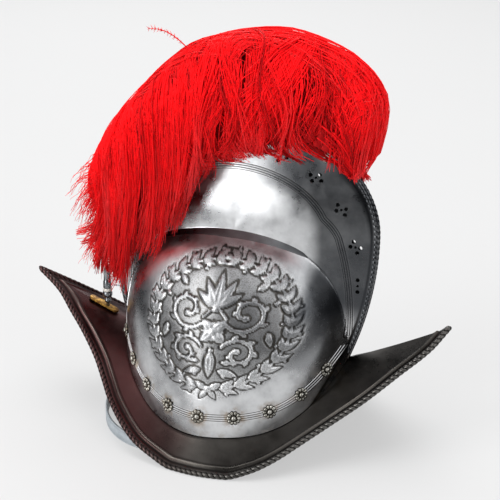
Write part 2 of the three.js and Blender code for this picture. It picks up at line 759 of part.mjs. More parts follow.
function strapSolid() {
  const at = (row, side) => V(row.x * FOOT_HALF, side * row.y * INNER_W, Math.max(row.z * FOOT_Z, FLOOR_GAP));
  const half = STRAP.map((row) => at(row, -1));
  const far = STRAP.slice(0, -1).reverse().map((row) => at(row, 1));
  const curve = new THREE.CatmullRomCurve3([...half, ...far], false, 'centripetal');
  const rings = [];
  for (let i = 0; i <= STRAP_STEPS; i += 1) {
    const out = curve.getPointAt(i / STRAP_STEPS);
    const t = curve.getTangentAt(i / STRAP_STEPS);
    const side = V(t.y, -t.x, 0).normalize();
    const high = t.clone().cross(side).normalize();
    if (high.z < 0) high.negate();
    out.z = Math.max(out.z, FLOOR_GAP);
    const inn = out.clone().addScaledVector(side, STRAP_T);
    rings.push([out, inn, inn.clone().addScaledVector(high, STRAP_W),
      out.clone().addScaledVector(high, STRAP_W)]);
  }
  return ringSolid(rings);
}

// Rivets that hold the strap's ends to the collar, their heads inside
const RIVET_X = 7;
const RIVET_UP = 6.4;
const RIVET_Z = FOOT_Z + RIVET_UP;
const RIVET_R = 1.1;
const RIVET_HEAD_R = 3.3;
const RIVET_HEAD = 1.9;
const RIVET_SEAT = 0.963 * INNER_W - STRAP_T;
const RIVET_LONG = STRAP_T + 0.9;
const RIVET_DRILL = 12;

function rivetHole(r) {
  const g = indexed(new THREE.CylinderGeometry(r, r, RIVET_DRILL, 6, 1));
  return toManifold(g.translate(RIVET_X, -RIVET_SEAT - RIVET_LONG, RIVET_Z));
}

function strapRivet() {
  const profile = [[0, -RIVET_LONG], [RIVET_R, -RIVET_LONG], [RIVET_R, GAP], [RIVET_HEAD_R, GAP],
    [RIVET_HEAD_R * 0.82, RIVET_HEAD * 0.68], [0, RIVET_HEAD]];
  return aimed(turned(profile, 8), V(RIVET_X, -RIVET_SEAT, RIVET_Z), V(0, 1, 0));
}

// Turned socket of the plume, its ring, its plate on the crest of the brim and its stay.
// Radius and height above the crest, in the order in which a turner meets them
const socketProfile = [
  [0, -2],
  [STEM_R, -2],
  [STEM_R, CUP_UP * 0.395],
  [CUP_R * 0.65, CUP_UP * 0.53],
  [CUP_R * 0.65, CUP_UP * 0.713],
  [CUP_R * 0.465, CUP_UP * 0.858],
  [CUP_R, CUP_UP],
  [CUP_R, NECK_UP - 1.2],
  [CUP_R * 0.86, NECK_UP],
  [NECK_R, NECK_UP],
  [NECK_R, NECK_UP + NECK_LONG],
  [TUBE_R, NECK_UP + NECK_LONG],
  [TUBE_R, NECK_UP + NECK_LONG + 6],
  [TUBE_R * 0.86, NECK_UP + NECK_LONG + 6.6],
  [TUBE_TOP_R, TUBE_UP],
  [BORE_R, TUBE_UP],
  [BORE_R, TUBE_UP - BORE_DEEP],
  [0, TUBE_UP - BORE_DEEP],
];

function upright(g) {
  g.rotateX(Math.PI / 2);
  g.translate(SOCKET_X, 0, SOCKET_Z);
  return faceOut(g);
}

const RING_R = 3.95;

function ringWasher() {
  const shape = new THREE.Shape().absarc(0, 0, RING_R, 0, Math.PI * 2, false);
  shape.holes.push(new THREE.Path().absarc(0, 0, NECK_R + GAP, 0, Math.PI * 2, true));
  const depth = NECK_LONG - 2 * GAP;
  const g = indexed(new THREE.ExtrudeGeometry(shape, { depth, bevelEnabled: false, curveSegments: 6 }));
  g.translate(SOCKET_X, 0, SOCKET_Z + NECK_UP + GAP);
  return faceOut(g);
}

const PLATE_LONG = 29;
const PLATE_WIDE = 7.4;
const PLATE_THICK = 1.8;
const PLATE_BACK = 3.4;
const BOLT_DRILL = 20;

function stemHole() {
  const g = indexed(new THREE.CylinderGeometry(STEM_R + GAP, STEM_R + GAP, BOLT_DRILL, 8, 1));
  return toManifold(g.rotateX(Math.PI / 2).translate(SOCKET_X, 0, SOCKET_Z));
}

function socketPlate() {
  const x = SOCKET_X - PLATE_BACK;
  const g = indexed(new THREE.BoxGeometry(PLATE_LONG, PLATE_WIDE, PLATE_THICK));
  g.rotateY(CREST_SLOPE);
  g.translate(x, 0, crestZ(x) + GAP + PLATE_THICK / 2 / Math.cos(CREST_SLOPE));
  return fromManifold(toManifold(g).subtract(stemHole()));
}

const STAY_R = 0.7;
const STAY_UP = 22;
const STAY_SEAT = 1.4;

function staySolid() {
  const z = SOCKET_Z + STAY_UP;
  const from = SOCKET_X + TUBE_R + GAP + 0.1;
  const to = combBack(z) - STAY_SEAT;
  const g = indexed(new THREE.CylinderGeometry(STAY_R, STAY_R, to - from, 6, 1));
  return g.rotateZ(Math.PI / 2).translate((from + to) / 2, 0, z);
}

// Clip of the plume, a strip bent over the edge of the comb: reach inwards, width and thickness
const CLIP_U = 0.655;
const CLIP_REACH = 10;
const CLIP_W = 5;
const CLIP_T = 0.9;

function clipSolid() {
  const { x, z, out, tan } = combFrame(CLIP_U);
  const side = (r) => halfWidth(x + out.x * r, z + out.z * r) + GAP + 0.15;
  const path = [[-CLIP_REACH, side(-CLIP_REACH)], [-CLIP_REACH / 2, side(-CLIP_REACH / 2)],
    [-0.6, COMB_EDGE + 0.5], [0.5, COMB_EDGE - CLIP_T]];
  const full = [...path.map(([r, y]) => [r, -y]), ...path.slice().reverse()];
  const rings = full.map(([r, y], i) => {
    const p = full[Math.max(i - 1, 0)];
    const q = full[Math.min(i + 1, full.length - 1)];
    const l = Math.hypot(q[0] - p[0], q[1] - p[1]);
    const nr = (q[1] - p[1]) / l;
    const ny = -(q[0] - p[0]) / l;
    const at = (w, t) => V(x, 0, z).addScaledVector(out, r + nr * t).addScaledVector(tan, w).setY(y + ny * t);
    return [at(-CLIP_W / 2, 0), at(CLIP_W / 2, 0), at(CLIP_W / 2, CLIP_T), at(-CLIP_W / 2, CLIP_T)];
  });
  return ringSolid(rings);
}

// Materials, one per finish
const steel = (name, color, rough) => new THREE.MeshStandardMaterial({
  name, color, roughness: rough, metalness: 1,
});
const mats = {
  skull_steel: steel('skull_steel', 0x9a9ea0, 0.32),
  brim_steel: steel('brim_steel', 0x4c4644, 0.36),
  rosette_steel: steel('rosette_steel', 0xb9b8ae, 0.3),
  socket_steel: steel('socket_steel', 0x8f9294, 0.3),
  clip_steel: steel('clip_steel', 0xb4b6b8, 0.25),
  brass: steel('plate_brass', 0x9a7a3c, 0.35),
  ring_white: new THREE.MeshStandardMaterial({ name: 'ring_white', color: 0xdedcd4, roughness: 0.5 }),
  plume_red: new THREE.MeshStandardMaterial({ name: 'plume_red', color: 0xd01018, roughness: 0.9 }),
  strap_grey: new THREE.MeshStandardMaterial({ name: 'strap_grey', color: 0x9aa3a8, roughness: 0.6 }),
};

const group = new THREE.Group();
group.name = 'morion_helmet';

function add(name, geometry, material) {
  const mesh = new THREE.Mesh(geometry, material);
  mesh.name = name;
  group.add(mesh);
  return mesh;
}

let half = toManifold(halfShell());
const raised = [...ornament(), ...centralDesign()].map(toManifold);
half = half.add(wasm.Manifold.union(raised));
const places = rosettePlaces();
const shankHoles = places.map(({ p, n }) => toManifold(aimed(
  indexed(new THREE.CylinderGeometry(SHANK_R + GAP, SHANK_R + GAP, ROSETTE_R, 6, 1)), p, n)));
half = half.subtract(wasm.Manifold.union([...pierceTools(), ...shankHoles]));
const right = faceOut(indexed(fromManifold(half)));
add('skull_right', right, mats.skull_steel);
add('skull_left', mirrored(right), mats.skull_steel.clone());

const collarHole = rivetHole(RIVET_R + GAP);
const brimCuts = wasm.Manifold.union([stemHole(), collarHole, collarHole.mirror([0, 1, 0])]);
add('brim', fromManifold(toManifold(brimSolid()).subtract(brimCuts)), mats.brim_steel);

places.forEach(({ p, n }, i) => {
  const g = aimed(turned(rosetteProfile, 6, 0.07), p, n);
  add(`rosette_${String(i + 1).padStart(2, '0')}`, g, mats.rosette_steel.clone());
  add(`rosette_${String(i + 1 + ROSETTES).padStart(2, '0')}`, mirrored(g), mats.rosette_steel.clone());
});

add('plume', plumeSolid(), mats.plume_red);

add('plume_socket', upright(turned(socketProfile, 8)), mats.socket_steel);
add('socket_ring', ringWasher(), mats.ring_white);
add('socket_plate', socketPlate(), mats.brass);
add('socket_stay', staySolid(), mats.socket_steel.clone());
add('plume_clip', clipSolid(), mats.clip_steel);

const strapHole = rivetHole(RIVET_R + FLOOR_GAP);
const strapCuts = wasm.Manifold.union([strapHole, strapHole.mirror([0, 1, 0])]);
add('chin_strap', fromManifold(toManifold(strapSolid()).subtract(strapCuts)), mats.strap_grey);
add('strap_rivet_right', strapRivet(), mats.rosette_steel.clone());
add('strap_rivet_left', mirrored(strapRivet()), mats.rosette_steel.clone());

export default group;
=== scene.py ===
"""Looks of a comb morion helmet with a red plume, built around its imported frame.

Lengths are millimetres in the frame's axes, +X to the front, +Y to the wearer's left and +Z up.
Meshes are written in metres.
"""
import logging
import math
from dataclasses import dataclass, field
from enum import Enum

import bpy
import numpy as np
from mathutils import Matrix, Vector


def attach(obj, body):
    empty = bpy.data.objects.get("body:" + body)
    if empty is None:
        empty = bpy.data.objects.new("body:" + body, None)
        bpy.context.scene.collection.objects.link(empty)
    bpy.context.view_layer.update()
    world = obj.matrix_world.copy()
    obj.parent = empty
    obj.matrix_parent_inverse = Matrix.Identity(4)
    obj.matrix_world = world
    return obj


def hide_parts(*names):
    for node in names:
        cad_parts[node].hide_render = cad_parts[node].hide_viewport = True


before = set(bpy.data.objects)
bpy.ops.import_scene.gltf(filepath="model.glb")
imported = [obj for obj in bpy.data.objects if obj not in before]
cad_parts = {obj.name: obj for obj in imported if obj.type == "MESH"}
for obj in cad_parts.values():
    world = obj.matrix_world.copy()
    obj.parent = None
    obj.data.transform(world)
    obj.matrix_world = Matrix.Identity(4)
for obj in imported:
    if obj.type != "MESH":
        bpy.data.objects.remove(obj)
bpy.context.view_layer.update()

LOG = logging.getLogger("morion")
MM = 0.001
Array = np.ndarray
Colour = tuple[float, float, float]
Place = Array | tuple[float, float, float]
Socket = bpy.types.NodeSocket
Material = bpy.types.Material
Piece = bpy.types.Object


class Side(Enum):
    """The wearer's sides of the helmet, with the sign of Y there."""

    RIGHT = -1.0
    LEFT = 1.0


class Slot(Enum):
    """Material slots of the record."""

    SKULL = "skull_steel"
    BRIM = "brim_steel"
    ROSETTE = "rosette_steel"
    SOCKET = "socket_steel"
    CLIP = "clip_steel"
    BRASS = "plate_brass"
    RING = "ring_white"
    PLUME = "plume_red"
    STRAP = "strap_grey"


def smooth(t: Array) -> Array:
    """Ease from 0 to 1."""
    t = np.clip(t, 0.0, 1.0)
    return t * t * (3.0 - 2.0 * t)


def bell(x: Array, width: float) -> Array:
    """A smooth hump, 1 at 0 and nearly 0 from twice its width on."""
    return np.exp(-(x / width) ** 2)


def unit(v: Array) -> Array:
    """Vectors of length 1 along the last axis."""
    return v / np.maximum(np.linalg.norm(v, axis=-1, keepdims=True), 1e-9)


def heading(path: Array) -> Array:
    """Unit vectors along a path."""
    return unit(np.gradient(path, axis=0))


def shares(count: int) -> Array:
    """Even places from 0 to 1."""
    return np.linspace(0.0, 1.0, count)


def between(t: Array, start: float, end: float, a: Array, b: Array) -> Array:
    """A straight blend, a where t is at its start and b at its end."""
    return (end - t) / (end - start) * a + (t - start) / (end - start) * b


def lookup(table: Array, at: Array, col: int) -> Array:
    """Cubic interpolation through a table whose first column is the key.

    Args:
        table: rows of numbers, the key rising down the first column.
        at: places on the key.
        col: column to read.

    Returns:
        The column's value at each place. A flat stretch stays flat.
    """
    key, val = table[:, 0], table[:, col]
    n = len(key)
    slopes = np.empty(n)
    for k in range(n):
        a, b = max(k - 1, 0), min(k + 1, n - 1)
        slopes[k] = (val[b] - val[a]) / (key[b] - key[a])
    i = np.clip(np.searchsorted(key, at, side="left") - 1, 0, n - 2)
    h = key[i + 1] - key[i]
    t = np.clip((at - key[i]) / h, 0.0, 1.0)
    flat = val[i] == val[i + 1]
    m0 = np.where(flat, 0.0, slopes[i] * h)
    m1 = np.where(flat, 0.0, slopes[i + 1] * h)
    t2, t3 = t * t, t * t * t
    return ((2 * t3 - 3 * t2 + 1) * val[i] + (t3 - 2 * t2 + t) * m0
            + (-2 * t3 + 3 * t2) * val[i + 1] + (t3 - t2) * m1)


@dataclass
class Surface:
    """A closed mesh in millimetres: its points, its four sided and its three sided faces."""

    points: Array
    quads: Array = field(default_factory=lambda: np.zeros((0, 4), int))
    tris: Array = field(default_factory=lambda: np.zeros((0, 3), int))

    def volume(self) -> float:
        """Signed volume of the mesh.

        Returns:
            The volume in cubic millimetres, above zero where the faces point out.
        """
        tris = np.vstack([self.quads[:, [0, 1, 2]], self.quads[:, [0, 2, 3]], self.tris])
        a, b, c = (self.points[tris[:, k]] for k in range(3))
        return float(np.einsum("ij,ij->i", a, np.cross(b, c)).sum() / 6.0)

    def outward(self) -> "Surface":
        """The same mesh with its faces pointing out."""
        turned = Surface(self.points, self.quads[:, ::-1], self.tris[:, ::-1])
        return self if self.volume() >= 0.0 else turned

    def mirrored(self) -> "Surface":
        """The mesh on the other side of the middle plane."""
        return Surface(self.points * (1.0, -1.0, 1.0), self.quads[:, ::-1], self.tris[:, ::-1])

    def moved(self, matrix: Array, place: Array) -> "Surface":
        """The mesh turned by a matrix of three columns and put at a place."""
        return Surface(self.points @ matrix.T + place, self.quads, self.tris)

    def shifted(self, place: Place) -> "Surface":
        """The mesh put at a place."""
        return Surface(self.points + place, self.quads, self.tris)

    @staticmethod
    def joined(parts: list["Surface"]) -> "Surface":
        """One mesh that holds several, each as its own closed shell.

        Args:
            parts: the meshes.

        Returns:
            The mesh.
        """
        start = np.cumsum([0] + [len(p.points) for p in parts[:-1]])
        return Surface(np.vstack([p.points for p in parts]),
                       np.vstack([p.quads + s for p, s in zip(parts, start)]),
                       np.vstack([p.tris + s for p, s in zip(parts, start)]))

    def to_object(self, name: str) -> Piece:
        """A Blender object of this mesh, in metres, in the scene.

        Args:
            name: name of the object and its mesh.

        Returns:
            The object.
        """
        mesh = bpy.data.meshes.new(name)
        mesh.vertices.add(len(self.points))
        mesh.vertices.foreach_set("co", (self.points * MM).astype(np.float32).ravel())
        corners = np.concatenate([self.quads.ravel(), self.tris.ravel()])
        mesh.loops.add(len(corners))
        mesh.loops.foreach_set("vertex_index", corners.astype(np.int32))
        fours, threes = len(self.quads), len(self.tris)
        starts = np.concatenate([np.arange(fours) * 4, fours * 4 + np.arange(threes) * 3])
        mesh.polygons.add(fours + threes)
        mesh.polygons.foreach_set("loop_start", starts.astype(np.int32))
        mesh.update(calc_edges=True)
        obj = bpy.data.objects.new(name, mesh)
        bpy.context.scene.collection.objects.link(obj)
        return obj


def circle(count: int) -> Array:
    """Places (x, y) round a circle of radius 1."""
    turn = np.linspace(0.0, 2.0 * math.pi, count, endpoint=False)
    return np.stack([np.cos(turn), np.sin(turn)], -1)


def ring_surface(rings: Array, loop: bool = False) -> Surface:
    """Skin over closed rings of equal count.

    Args:
        rings: points, as rings by places on a ring by 3.
        loop: True where the last ring meets the first, else both ends get a fan.

    Returns:
        A closed mesh with its faces pointing out.
    """
    m, n = rings.shape[:2]
    points = rings.reshape(-1, 3)
    i = np.arange(m if loop else m - 1)[:, None]
    j = np.arange(n)[None, :]
    after, beside = (i + 1) % m, (j + 1) % n
    quads = np.stack([i * n + j, i * n + beside, after * n + beside, after * n + j], -1).reshape(-1, 4)
    if loop:
        return Surface(points, quads).outward()
    hubs = np.stack([rings[0].mean(0), rings[-1].mean(0)])
    k = np.arange(n)
    first = np.stack([np.full(n, m * n), (k + 1) % n, k], -1)
    last = np.stack([np.full(n, m * n + 1), (m - 1) * n + k, (m - 1) * n + (k + 1) % n], -1)
    return Surface(np.vstack([points, hubs]), quads, np.vstack([first, last])).outward()


def resampled(path: Array, step: float, closed: bool = False) -> Array:
    """Points at an even step along a path.

    Args:
        path: points of the path.
        step: wanted distance.
        closed: True where the path is a loop.

    Returns:
        The new points, without a repeated one on a loop.
    """
    if closed:
        path = np.vstack([path, path[:1]])
    length = np.concatenate([[0.0], np.cumsum(np.linalg.norm(np.diff(path, axis=0), axis=1))])
    count = max(int(round(length[-1] / step)), 3)
    at = np.linspace(0.0, length[-1], count + 1)
    if closed:
        at = at[:-1]
    return np.stack([np.interp(at, length, path[:, k]) for k in range(path.shape[1])], -1)


def sweep(path: Array, aside: Array, up: Array, section: Array, closed: bool = False) -> Surface:
    """A closed bar along a path.

    Args:
        path: its middle line.
        aside: unit vectors across the path, one for each point.
        up: unit vectors upright on the path, one for each point.
        section: places (across, up), the same for all points or one set for each.
        closed: True where the path is a loop.

    Returns:
        The bar's mesh.
    """
    if section.ndim == 2:
        section = np.broadcast_to(section, (len(path),) + section.shape)
    rings = (path[:, None] + section[..., :1] * aside[:, None] + section[..., 1:] * up[:, None])
    return ring_surface(rings, closed)


def lathe(profile: list[tuple[float, float]], segments: int, bevel: float = 0.0) -> Surface:
    """A turned solid about +Z.

    Args:
        profile: places (radius, height) from the axis round to the axis.
        segments: count of sides.
        bevel: length of a small flat that softens each corner.

    Returns:
        The turned mesh.
    """
    pts = np.array(profile, float)
    if bevel > 0.0:
        soft = [pts[0]]
        for a, b, c in zip(pts[:-2], pts[1:-1], pts[2:]):
            back, ahead = a - b, c - b
            lb, la = np.linalg.norm(back), np.linalg.norm(ahead)
            soft.append(b + back / lb * min(bevel, lb * 0.4))
            soft.append(b + ahead / la * min(bevel, la * 0.4))
        pts = np.array(soft + [pts[-1]])
    inner = pts[1:-1]
    high = np.broadcast_to(inner[:, None, 1:], (len(inner), segments, 1))
    made = ring_surface(np.concatenate([inner[:, None, :1] * circle(segments), high], -1))
    made.points[-2] = (0.0, 0.0, pts[0, 1])
    made.points[-1] = (0.0, 0.0, pts[-1, 1])
    return made.outward()


def rod(radius: float, low: float, high: float, sides: int, bevel: float = 0.0) -> Surface:
    """A round bar along +Z."""
    return lathe([(0.0, low), (radius, low), (radius, high), (0.0, high)], sides, bevel)


def rope_section(length: Array, radius: float, pitch: float, cut: float, sides: int) -> Array:
    """Sections of a roped edge, whose strands wind round it.

    Args:
        length: distance of each section along the edge.
        radius: radius of the rope.
        pitch: distance between two cuts along the edge.
        cut: depth of the cuts, as a share of the radius.
        sides: places on a section.

    Returns:
        Places (across, up), as sections by places by 2.
    """
    turn = np.linspace(0.0, 2.0 * math.pi, sides, endpoint=False)
    phase = length[:, None] / pitch + turn[None, :] / math.pi
    r = radius * (1.0 - cut * (1.0 - np.abs(np.sin(math.pi * phase)) ** 0.55))
    return np.stack([r * np.cos(turn), r * np.sin(turn)], -1)


@dataclass(frozen=True)
class HelmetForm:
    """The helmet's form: bowl, comb, foot and edge of the brim, in millimetres."""

    tip: float = 186.0
    brim_half: float = 116.0
    tip_z: float = 107.0
    sheet: float = 1.5
    gap: float = 0.35
    rope_r: float = 2.2
    rope_sides: int = 14
    foot_x: float = 1.9
    foot_half: float = 99.5
    foot_wide: float = 91.2
    foot_pow: float = 1.67
    foot_low: float = 22.4
    foot_rise_back: float = 50.0
    foot_rise_front: float = 47.5
    bowl_top: float = 103.0
    bowl_top_z: float = 72.0
    comb_x: float = 6.0
    comb_z: float = 178.0
    comb_a: float = 118.0
    comb_b: float = 92.0
    comb_edge: float = 4.2
    comb_flare: float = 0.14
    blend: float = 9.0
    flank_u: float = 0.16
    flare_deep: float = 80.0
    flare_soft: float = 8.0
    rosettes: int = 9
    rosette_up: float = 17.5

    def edge_table(self) -> Array:
        """Rows of (along, half width, height) of the brim's edge, as shares of its sizes.

        Returns:
            The rows, from the back tip to the front tip.
        """
        return np.array([
            (-1.0, 0.0, 1.0), (-0.87, 0.088, 0.88), (-0.777, 0.192, 0.764), (-0.683, 0.297, 0.645),
            (-0.589, 0.412, 0.5), (-0.526, 0.51, 0.38), (-0.458, 0.63, 0.276), (-0.355, 0.78, 0.172),
            (-0.27, 0.872, 0.103), (-0.16, 0.943, 0.042), (-0.075, 0.978, 0.0), (0.06, 1.0, 0.0),
            (0.19, 0.975, 0.0), (0.29, 0.922, 0.056), (0.35, 0.868, 0.104), (0.41, 0.795, 0.164),
            (0.463, 0.715, 0.224), (0.58, 0.56, 0.362), (0.705, 0.435, 0.525), (0.824, 0.29, 0.7),
            (0.941, 0.142, 0.874), (1.0, 0.0, 1.0)])

    def brim_edge(self, e: Array) -> Array:
        """Middle of the roped edge on the wearer's right.

        Args:
            e: share along the brim, -1 at the back tip, 1 at the front.

        Returns:
            Points of the middle line.
        """
        table = self.edge_table()
        e = np.asarray(e, float)
        wide = np.maximum(lookup(table, e, 1), 0.0) * self.brim_half
        high = np.maximum(lookup(table, e, 2), 0.0) * self.tip_z
        return np.stack([(self.tip - 0.8 * self.rope_r) * e, -wide, high + self.rope_r], -1)

    def foot_z(self, c: Array) -> Array:
        """Height of the bowl's foot.

        Args:
            c: share along the foot, -1 at the back, 1 at the front.

        Returns:
            The heights.
        """
        c = np.asarray(c, float)
        a = np.minimum(np.abs(c), 1.0)
        rise = np.where(c < 0, self.foot_rise_back * a ** 2.62, self.foot_rise_front * a ** 4.13)
        return self.foot_low + rise

    def foot_w(self, c: Array) -> Array:
        """Half width of the bowl's foot."""
        a = np.minimum(np.abs(np.asarray(c, float)), 1.0)
        return self.foot_wide * (1.0 - a ** self.foot_pow) ** 0.6

    def flank_x(self, side: float, k: Array) -> Array:
        """X of the comb's outline below its ellipse, side 1 in front, k from 0 to 1 at the foot."""
        edge = self.comb_x + side * self.comb_a
        return edge - (edge - self.foot_x - side * self.foot_half) * k * k

    def comb_outline(self, u: Array) -> tuple[Array, Array]:
        """X and Z of the comb's outline.

        Args:
            u: place along the comb, 0 at the back foot, 1 at the front foot.

        Returns:
            X and Z of each place.
        """
        u = np.asarray(u, float)
        low = self.flank_u
        zb, zf = float(self.foot_z(-1.0)), float(self.foot_z(1.0))
        back_z = zb + (self.comb_z - zb) * u / low
        front_z = zf + (self.comb_z - zf) * (1.0 - u) / low
        back_x = self.flank_x(-1.0, (self.comb_z - back_z) / (self.comb_z - zb))
        front_x = self.flank_x(1.0, (self.comb_z - front_z) / (self.comb_z - zf))
        a = math.pi * (1.0 - (u - low) / (1.0 - 2.0 * low))
        high_x, high_z = self.comb_x + self.comb_a * np.cos(a), self.comb_z + self.comb_b * np.sin(a)
        x = np.where(u < low, back_x, np.where(u > 1.0 - low, front_x, high_x))
        z = np.where(u < low, back_z, np.where(u > 1.0 - low, front_z, high_z))
        return x, z

    def comb_frame(self, u: Array) -> tuple[Array, Array, Array]:
        """Point of the comb's outline with its outward and forward unit vectors, as (x, 0, z).

        Args:
            u: place along the comb, 0 at the back foot, 1 at the front foot.

        Returns:
            Points, outward vectors and forward vectors.
        """
        x, z = self.comb_outline(u)
        ax, az = self.comb_outline(np.maximum(u - 0.004, 0.0))
        bx, bz = self.comb_outline(np.minimum(u + 0.004, 1.0))
        zero = np.zeros_like(x)
        ahead = unit(np.stack([bx - ax, zero, bz - az], -1))
        out = np.stack([-ahead[..., 2], zero, ahead[..., 0]], -1)
        return np.stack([x, zero, z], -1), out, ahead

    def comb_depth(self, x: Array, z: Array) -> Array:
        """Distance inwards from the comb's outline.

        Args:
            x: places along X.
            z: heights.

        Returns:
            The distances, above zero inside the outline.
        """
        dx, dz = x - self.comb_x, z - self.comb_z
        r = np.maximum(np.hypot(dx / self.comb_a, dz / self.comb_b), 1e-6)
        high = (1.0 - r) * np.hypot(dx, dz) / r
        zf, zb = float(self.foot_z(1.0)), float(self.foot_z(-1.0))
        front = self.flank_x(1.0, (self.comb_z - z) / (self.comb_z - zf))
        back = self.flank_x(-1.0, (self.comb_z - z) / (self.comb_z - zb))
        return np.where(z >= self.comb_z, high, np.minimum(front - x, x - back))

    def half_width(self, x: Array, z: Array) -> Array:
        """Half thickness of the helmet at a place in the middle plane.

        Args:
            x: places along X.
            z: heights.

        Returns:
            Half the helmet's thickness there.
        """
        short = (self.flare_deep - self.comb_depth(x, z)) / self.flare_soft
        deep = self.flare_deep - self.flare_soft * np.logaddexp(0.0, short)
        comb = self.comb_edge + self.comb_flare * np.maximum(deep, 0.0)
        c = np.clip((x - self.foot_x) / self.foot_half, -1.0, 1.0)
        a = np.abs(c)
        top = self.bowl_top_z + self.bowl_top * np.maximum(1.0 - a ** 2.5, 0.0) ** 0.4
        low = self.foot_z(c)
        s = np.clip((z - low) / np.maximum(top - low, 1.0), 0.0, 1.0)
        bowl = self.foot_w(c) * (1.0 - s ** 2.3) ** 0.55
        k = np.clip(1.0 - np.abs(bowl - comb) / self.blend, 0.0, 1.0)
        return np.maximum(bowl, comb) + k * k * self.blend / 4.0

    def skin(self, x: Array, z: Array) -> Array:
        """Point of the right side's skin over a place in the middle plane."""
        return np.stack([x, -self.half_width(x, z), z], -1)

    def skin_normal(self, x: Array, z: Array) -> Array:
        """Outward unit vector of the right side's skin.

        Args:
            x: places along X.
            z: heights.

        Returns:
            Unit vectors.
        """
        d = 0.6
        dx = (self.half_width(x + d, z) - self.half_width(x - d, z)) / (2 * d)
        dz = (self.half_width(x, z + d) - self.half_width(x, z - d)) / (2 * d)
        return unit(np.stack([-np.clip(dx, -3.5, 3.5), -np.ones_like(dx), -np.clip(dz, -3.5, 3.5)], -1))

    def band_path(self, share: float) -> Array:
        """Path on the comb that follows its edge.

        Args:
            share: share of the band's depth.

        Returns:
            Rows of (x, z).
        """
        point, out, _ = self.comb_frame(0.03 + 0.94 * shares(401))
        depth = np.clip(9.0 + (point[:, 2] - 95.0) * 0.28, 6.0, 41.0) * share
        return (point - out * depth[:, None])[:, [0, 2]]

    def rosette_places(self) -> list[tuple[Array, Array]]:
        """Seats of the rosettes of the right side, each a point and a normal of the skin.

        Returns:
            The seats, from the back to the front.
        """
        c = -np.cos(np.pi * np.arange(601) / 600)
        foot = np.stack([self.foot_x + self.foot_half * c,
                         -np.maximum(self.foot_w(c), self.comb_edge), self.foot_z(c)], -1)
        length = np.concatenate([[0.0], np.cumsum(np.linalg.norm(np.diff(foot, axis=0), axis=1))])
        places = []
        for k in range(self.rosettes):
            want = 32.0 + (length[-1] - 66.0) * k / (self.rosettes - 1)
            i = int(np.argmax(length >= want))
            x, z = foot[i, 0], foot[i, 2] + self.rosette_up
            places.append((self.skin(x, z), self.skin_normal(x, z)))
        return places


FORM = HelmetForm()


class Nodes:
    """A small helper that builds the node tree of a material or of the sky."""

    def __init__(self, owner: bpy.types.ID, shader: str = "Principled BSDF") -> None:
        """Take up the node tree.

        Args:
            owner: the new material or world.
            shader: name of its shader's node.
        """
        owner.use_nodes = True
        self.owner = owner
        self.tree = owner.node_tree
        self.shader = self.tree.nodes[shader]
        self.coordinates = self.node("TexCoord", {}).outputs

    def put(self, socket: Socket, value: object) -> None:
        """Link an input, or set its value.

        Args:
            socket: the input.
            value: an output to link, a number, a vector or a colour.
        """
        if isinstance(value, Socket):
            self.tree.links.new(value, socket)
        elif socket.type == "RGBA":
            socket.default_value = (*value, 1.0)
        else:
            socket.default_value = value

    def node(self, kind: str, inputs: dict[int | str, object], **settings: object) -> bpy.types.Node:
        """Add a node.

        Args:
            kind: its kind, without the prefix of shader nodes.
            inputs: what its inputs get, by place or name.
            settings: its settings.

        Returns:
            The node.
        """
        node = self.tree.nodes.new("ShaderNode" + kind)
        for key, value in settings.items():
            setattr(node, key, value)
        for key, value in inputs.items():
            self.put(node.inputs[key], value)
        return node

    def noise(self, scale: float, detail: float = 4.0, rough: float = 0.55,
              stretch: tuple[float, float, float] = (1.0, 1.0, 1.0)) -> Socket:
        """Noise in the object's own space.

        Args:
            scale: features per metre.
            detail: count of finer layers.
            rough: weight of the finer layers.
            stretch: share of the scale along each axis.

        Returns:
            The noise, about 0 to 1.
        """
        space = self.node("Mapping", {"Vector": self.coordinates["Object"], "Scale": stretch})
        inputs = {"Vector": space.outputs["Vector"], "Scale": scale, "Detail": detail, "Roughness": rough}
        return self.node("TexNoise", inputs).outputs["Fac"]

    def attribute(self, name: str) -> Socket:
        """A number stored on the mesh's points."""
        return self.node("Attribute", {}, attribute_name=name).outputs["Fac"]

    def math(self, operation: str, a: object, b: object = 0.0) -> Socket:
        """One step of arithmetic."""
        return self.node("Math", {0: a, 1: b}, operation=operation).outputs[0]

    def span(self, value: object, low: float, high: float, a: float, b: float) -> Socket:
        """A number's range from low to high moved smoothly to the range from a to b."""
        inputs = {"Value": value, "From Min": low, "From Max": high, "To Min": a, "To Max": b}
        return self.node("MapRange", inputs, interpolation_type="SMOOTHSTEP").outputs["Result"]

    def mix(self, share: object, a: object, b: object) -> Socket:
        """A mix of two colours."""
        return self.node("Mix", {0: share, 6: a, 7: b}, data_type="RGBA").outputs[2]

    def tint(self, base: object, name: str, amount: float, colour: Colour) -> Socket:
        """A colour that turns to another by an amount where the mesh's number of that name is 1."""
        return self.mix(self.math("MULTIPLY", self.attribute(name), amount), base, colour)

    def bump(self, height: object, depth: float, strength: float = 1.0,
             normal: object = None) -> Socket:
        """Relief of the surface.

        Args:
            height: the relief, about 0 to 1.
            depth: what 1 of it measures, in metres.
            strength: how strongly it shows.
            normal: another relief that it is laid over.

        Returns:
            The new normal.
        """
        inputs = {"Strength": strength, "Distance": depth, "Height": height}
        if normal is not None:
            inputs["Normal"] = normal
        return self.node("Bump", inputs).outputs["Normal"]

    def finish(self, **values: object) -> bpy.types.ID:
        """Set or link the shader's inputs.

        Args:
            values: what each input gets, a space in its name written as an underscore.

        Returns:
            The material or world.
        """
        for key, value in values.items():
            self.put(self.shader.inputs[key.replace("_", " ")], value)
        return self.owner


def material_nodes(name: str) -> Nodes:
    """The nodes of a new material."""
    return Nodes(bpy.data.materials.new(name))


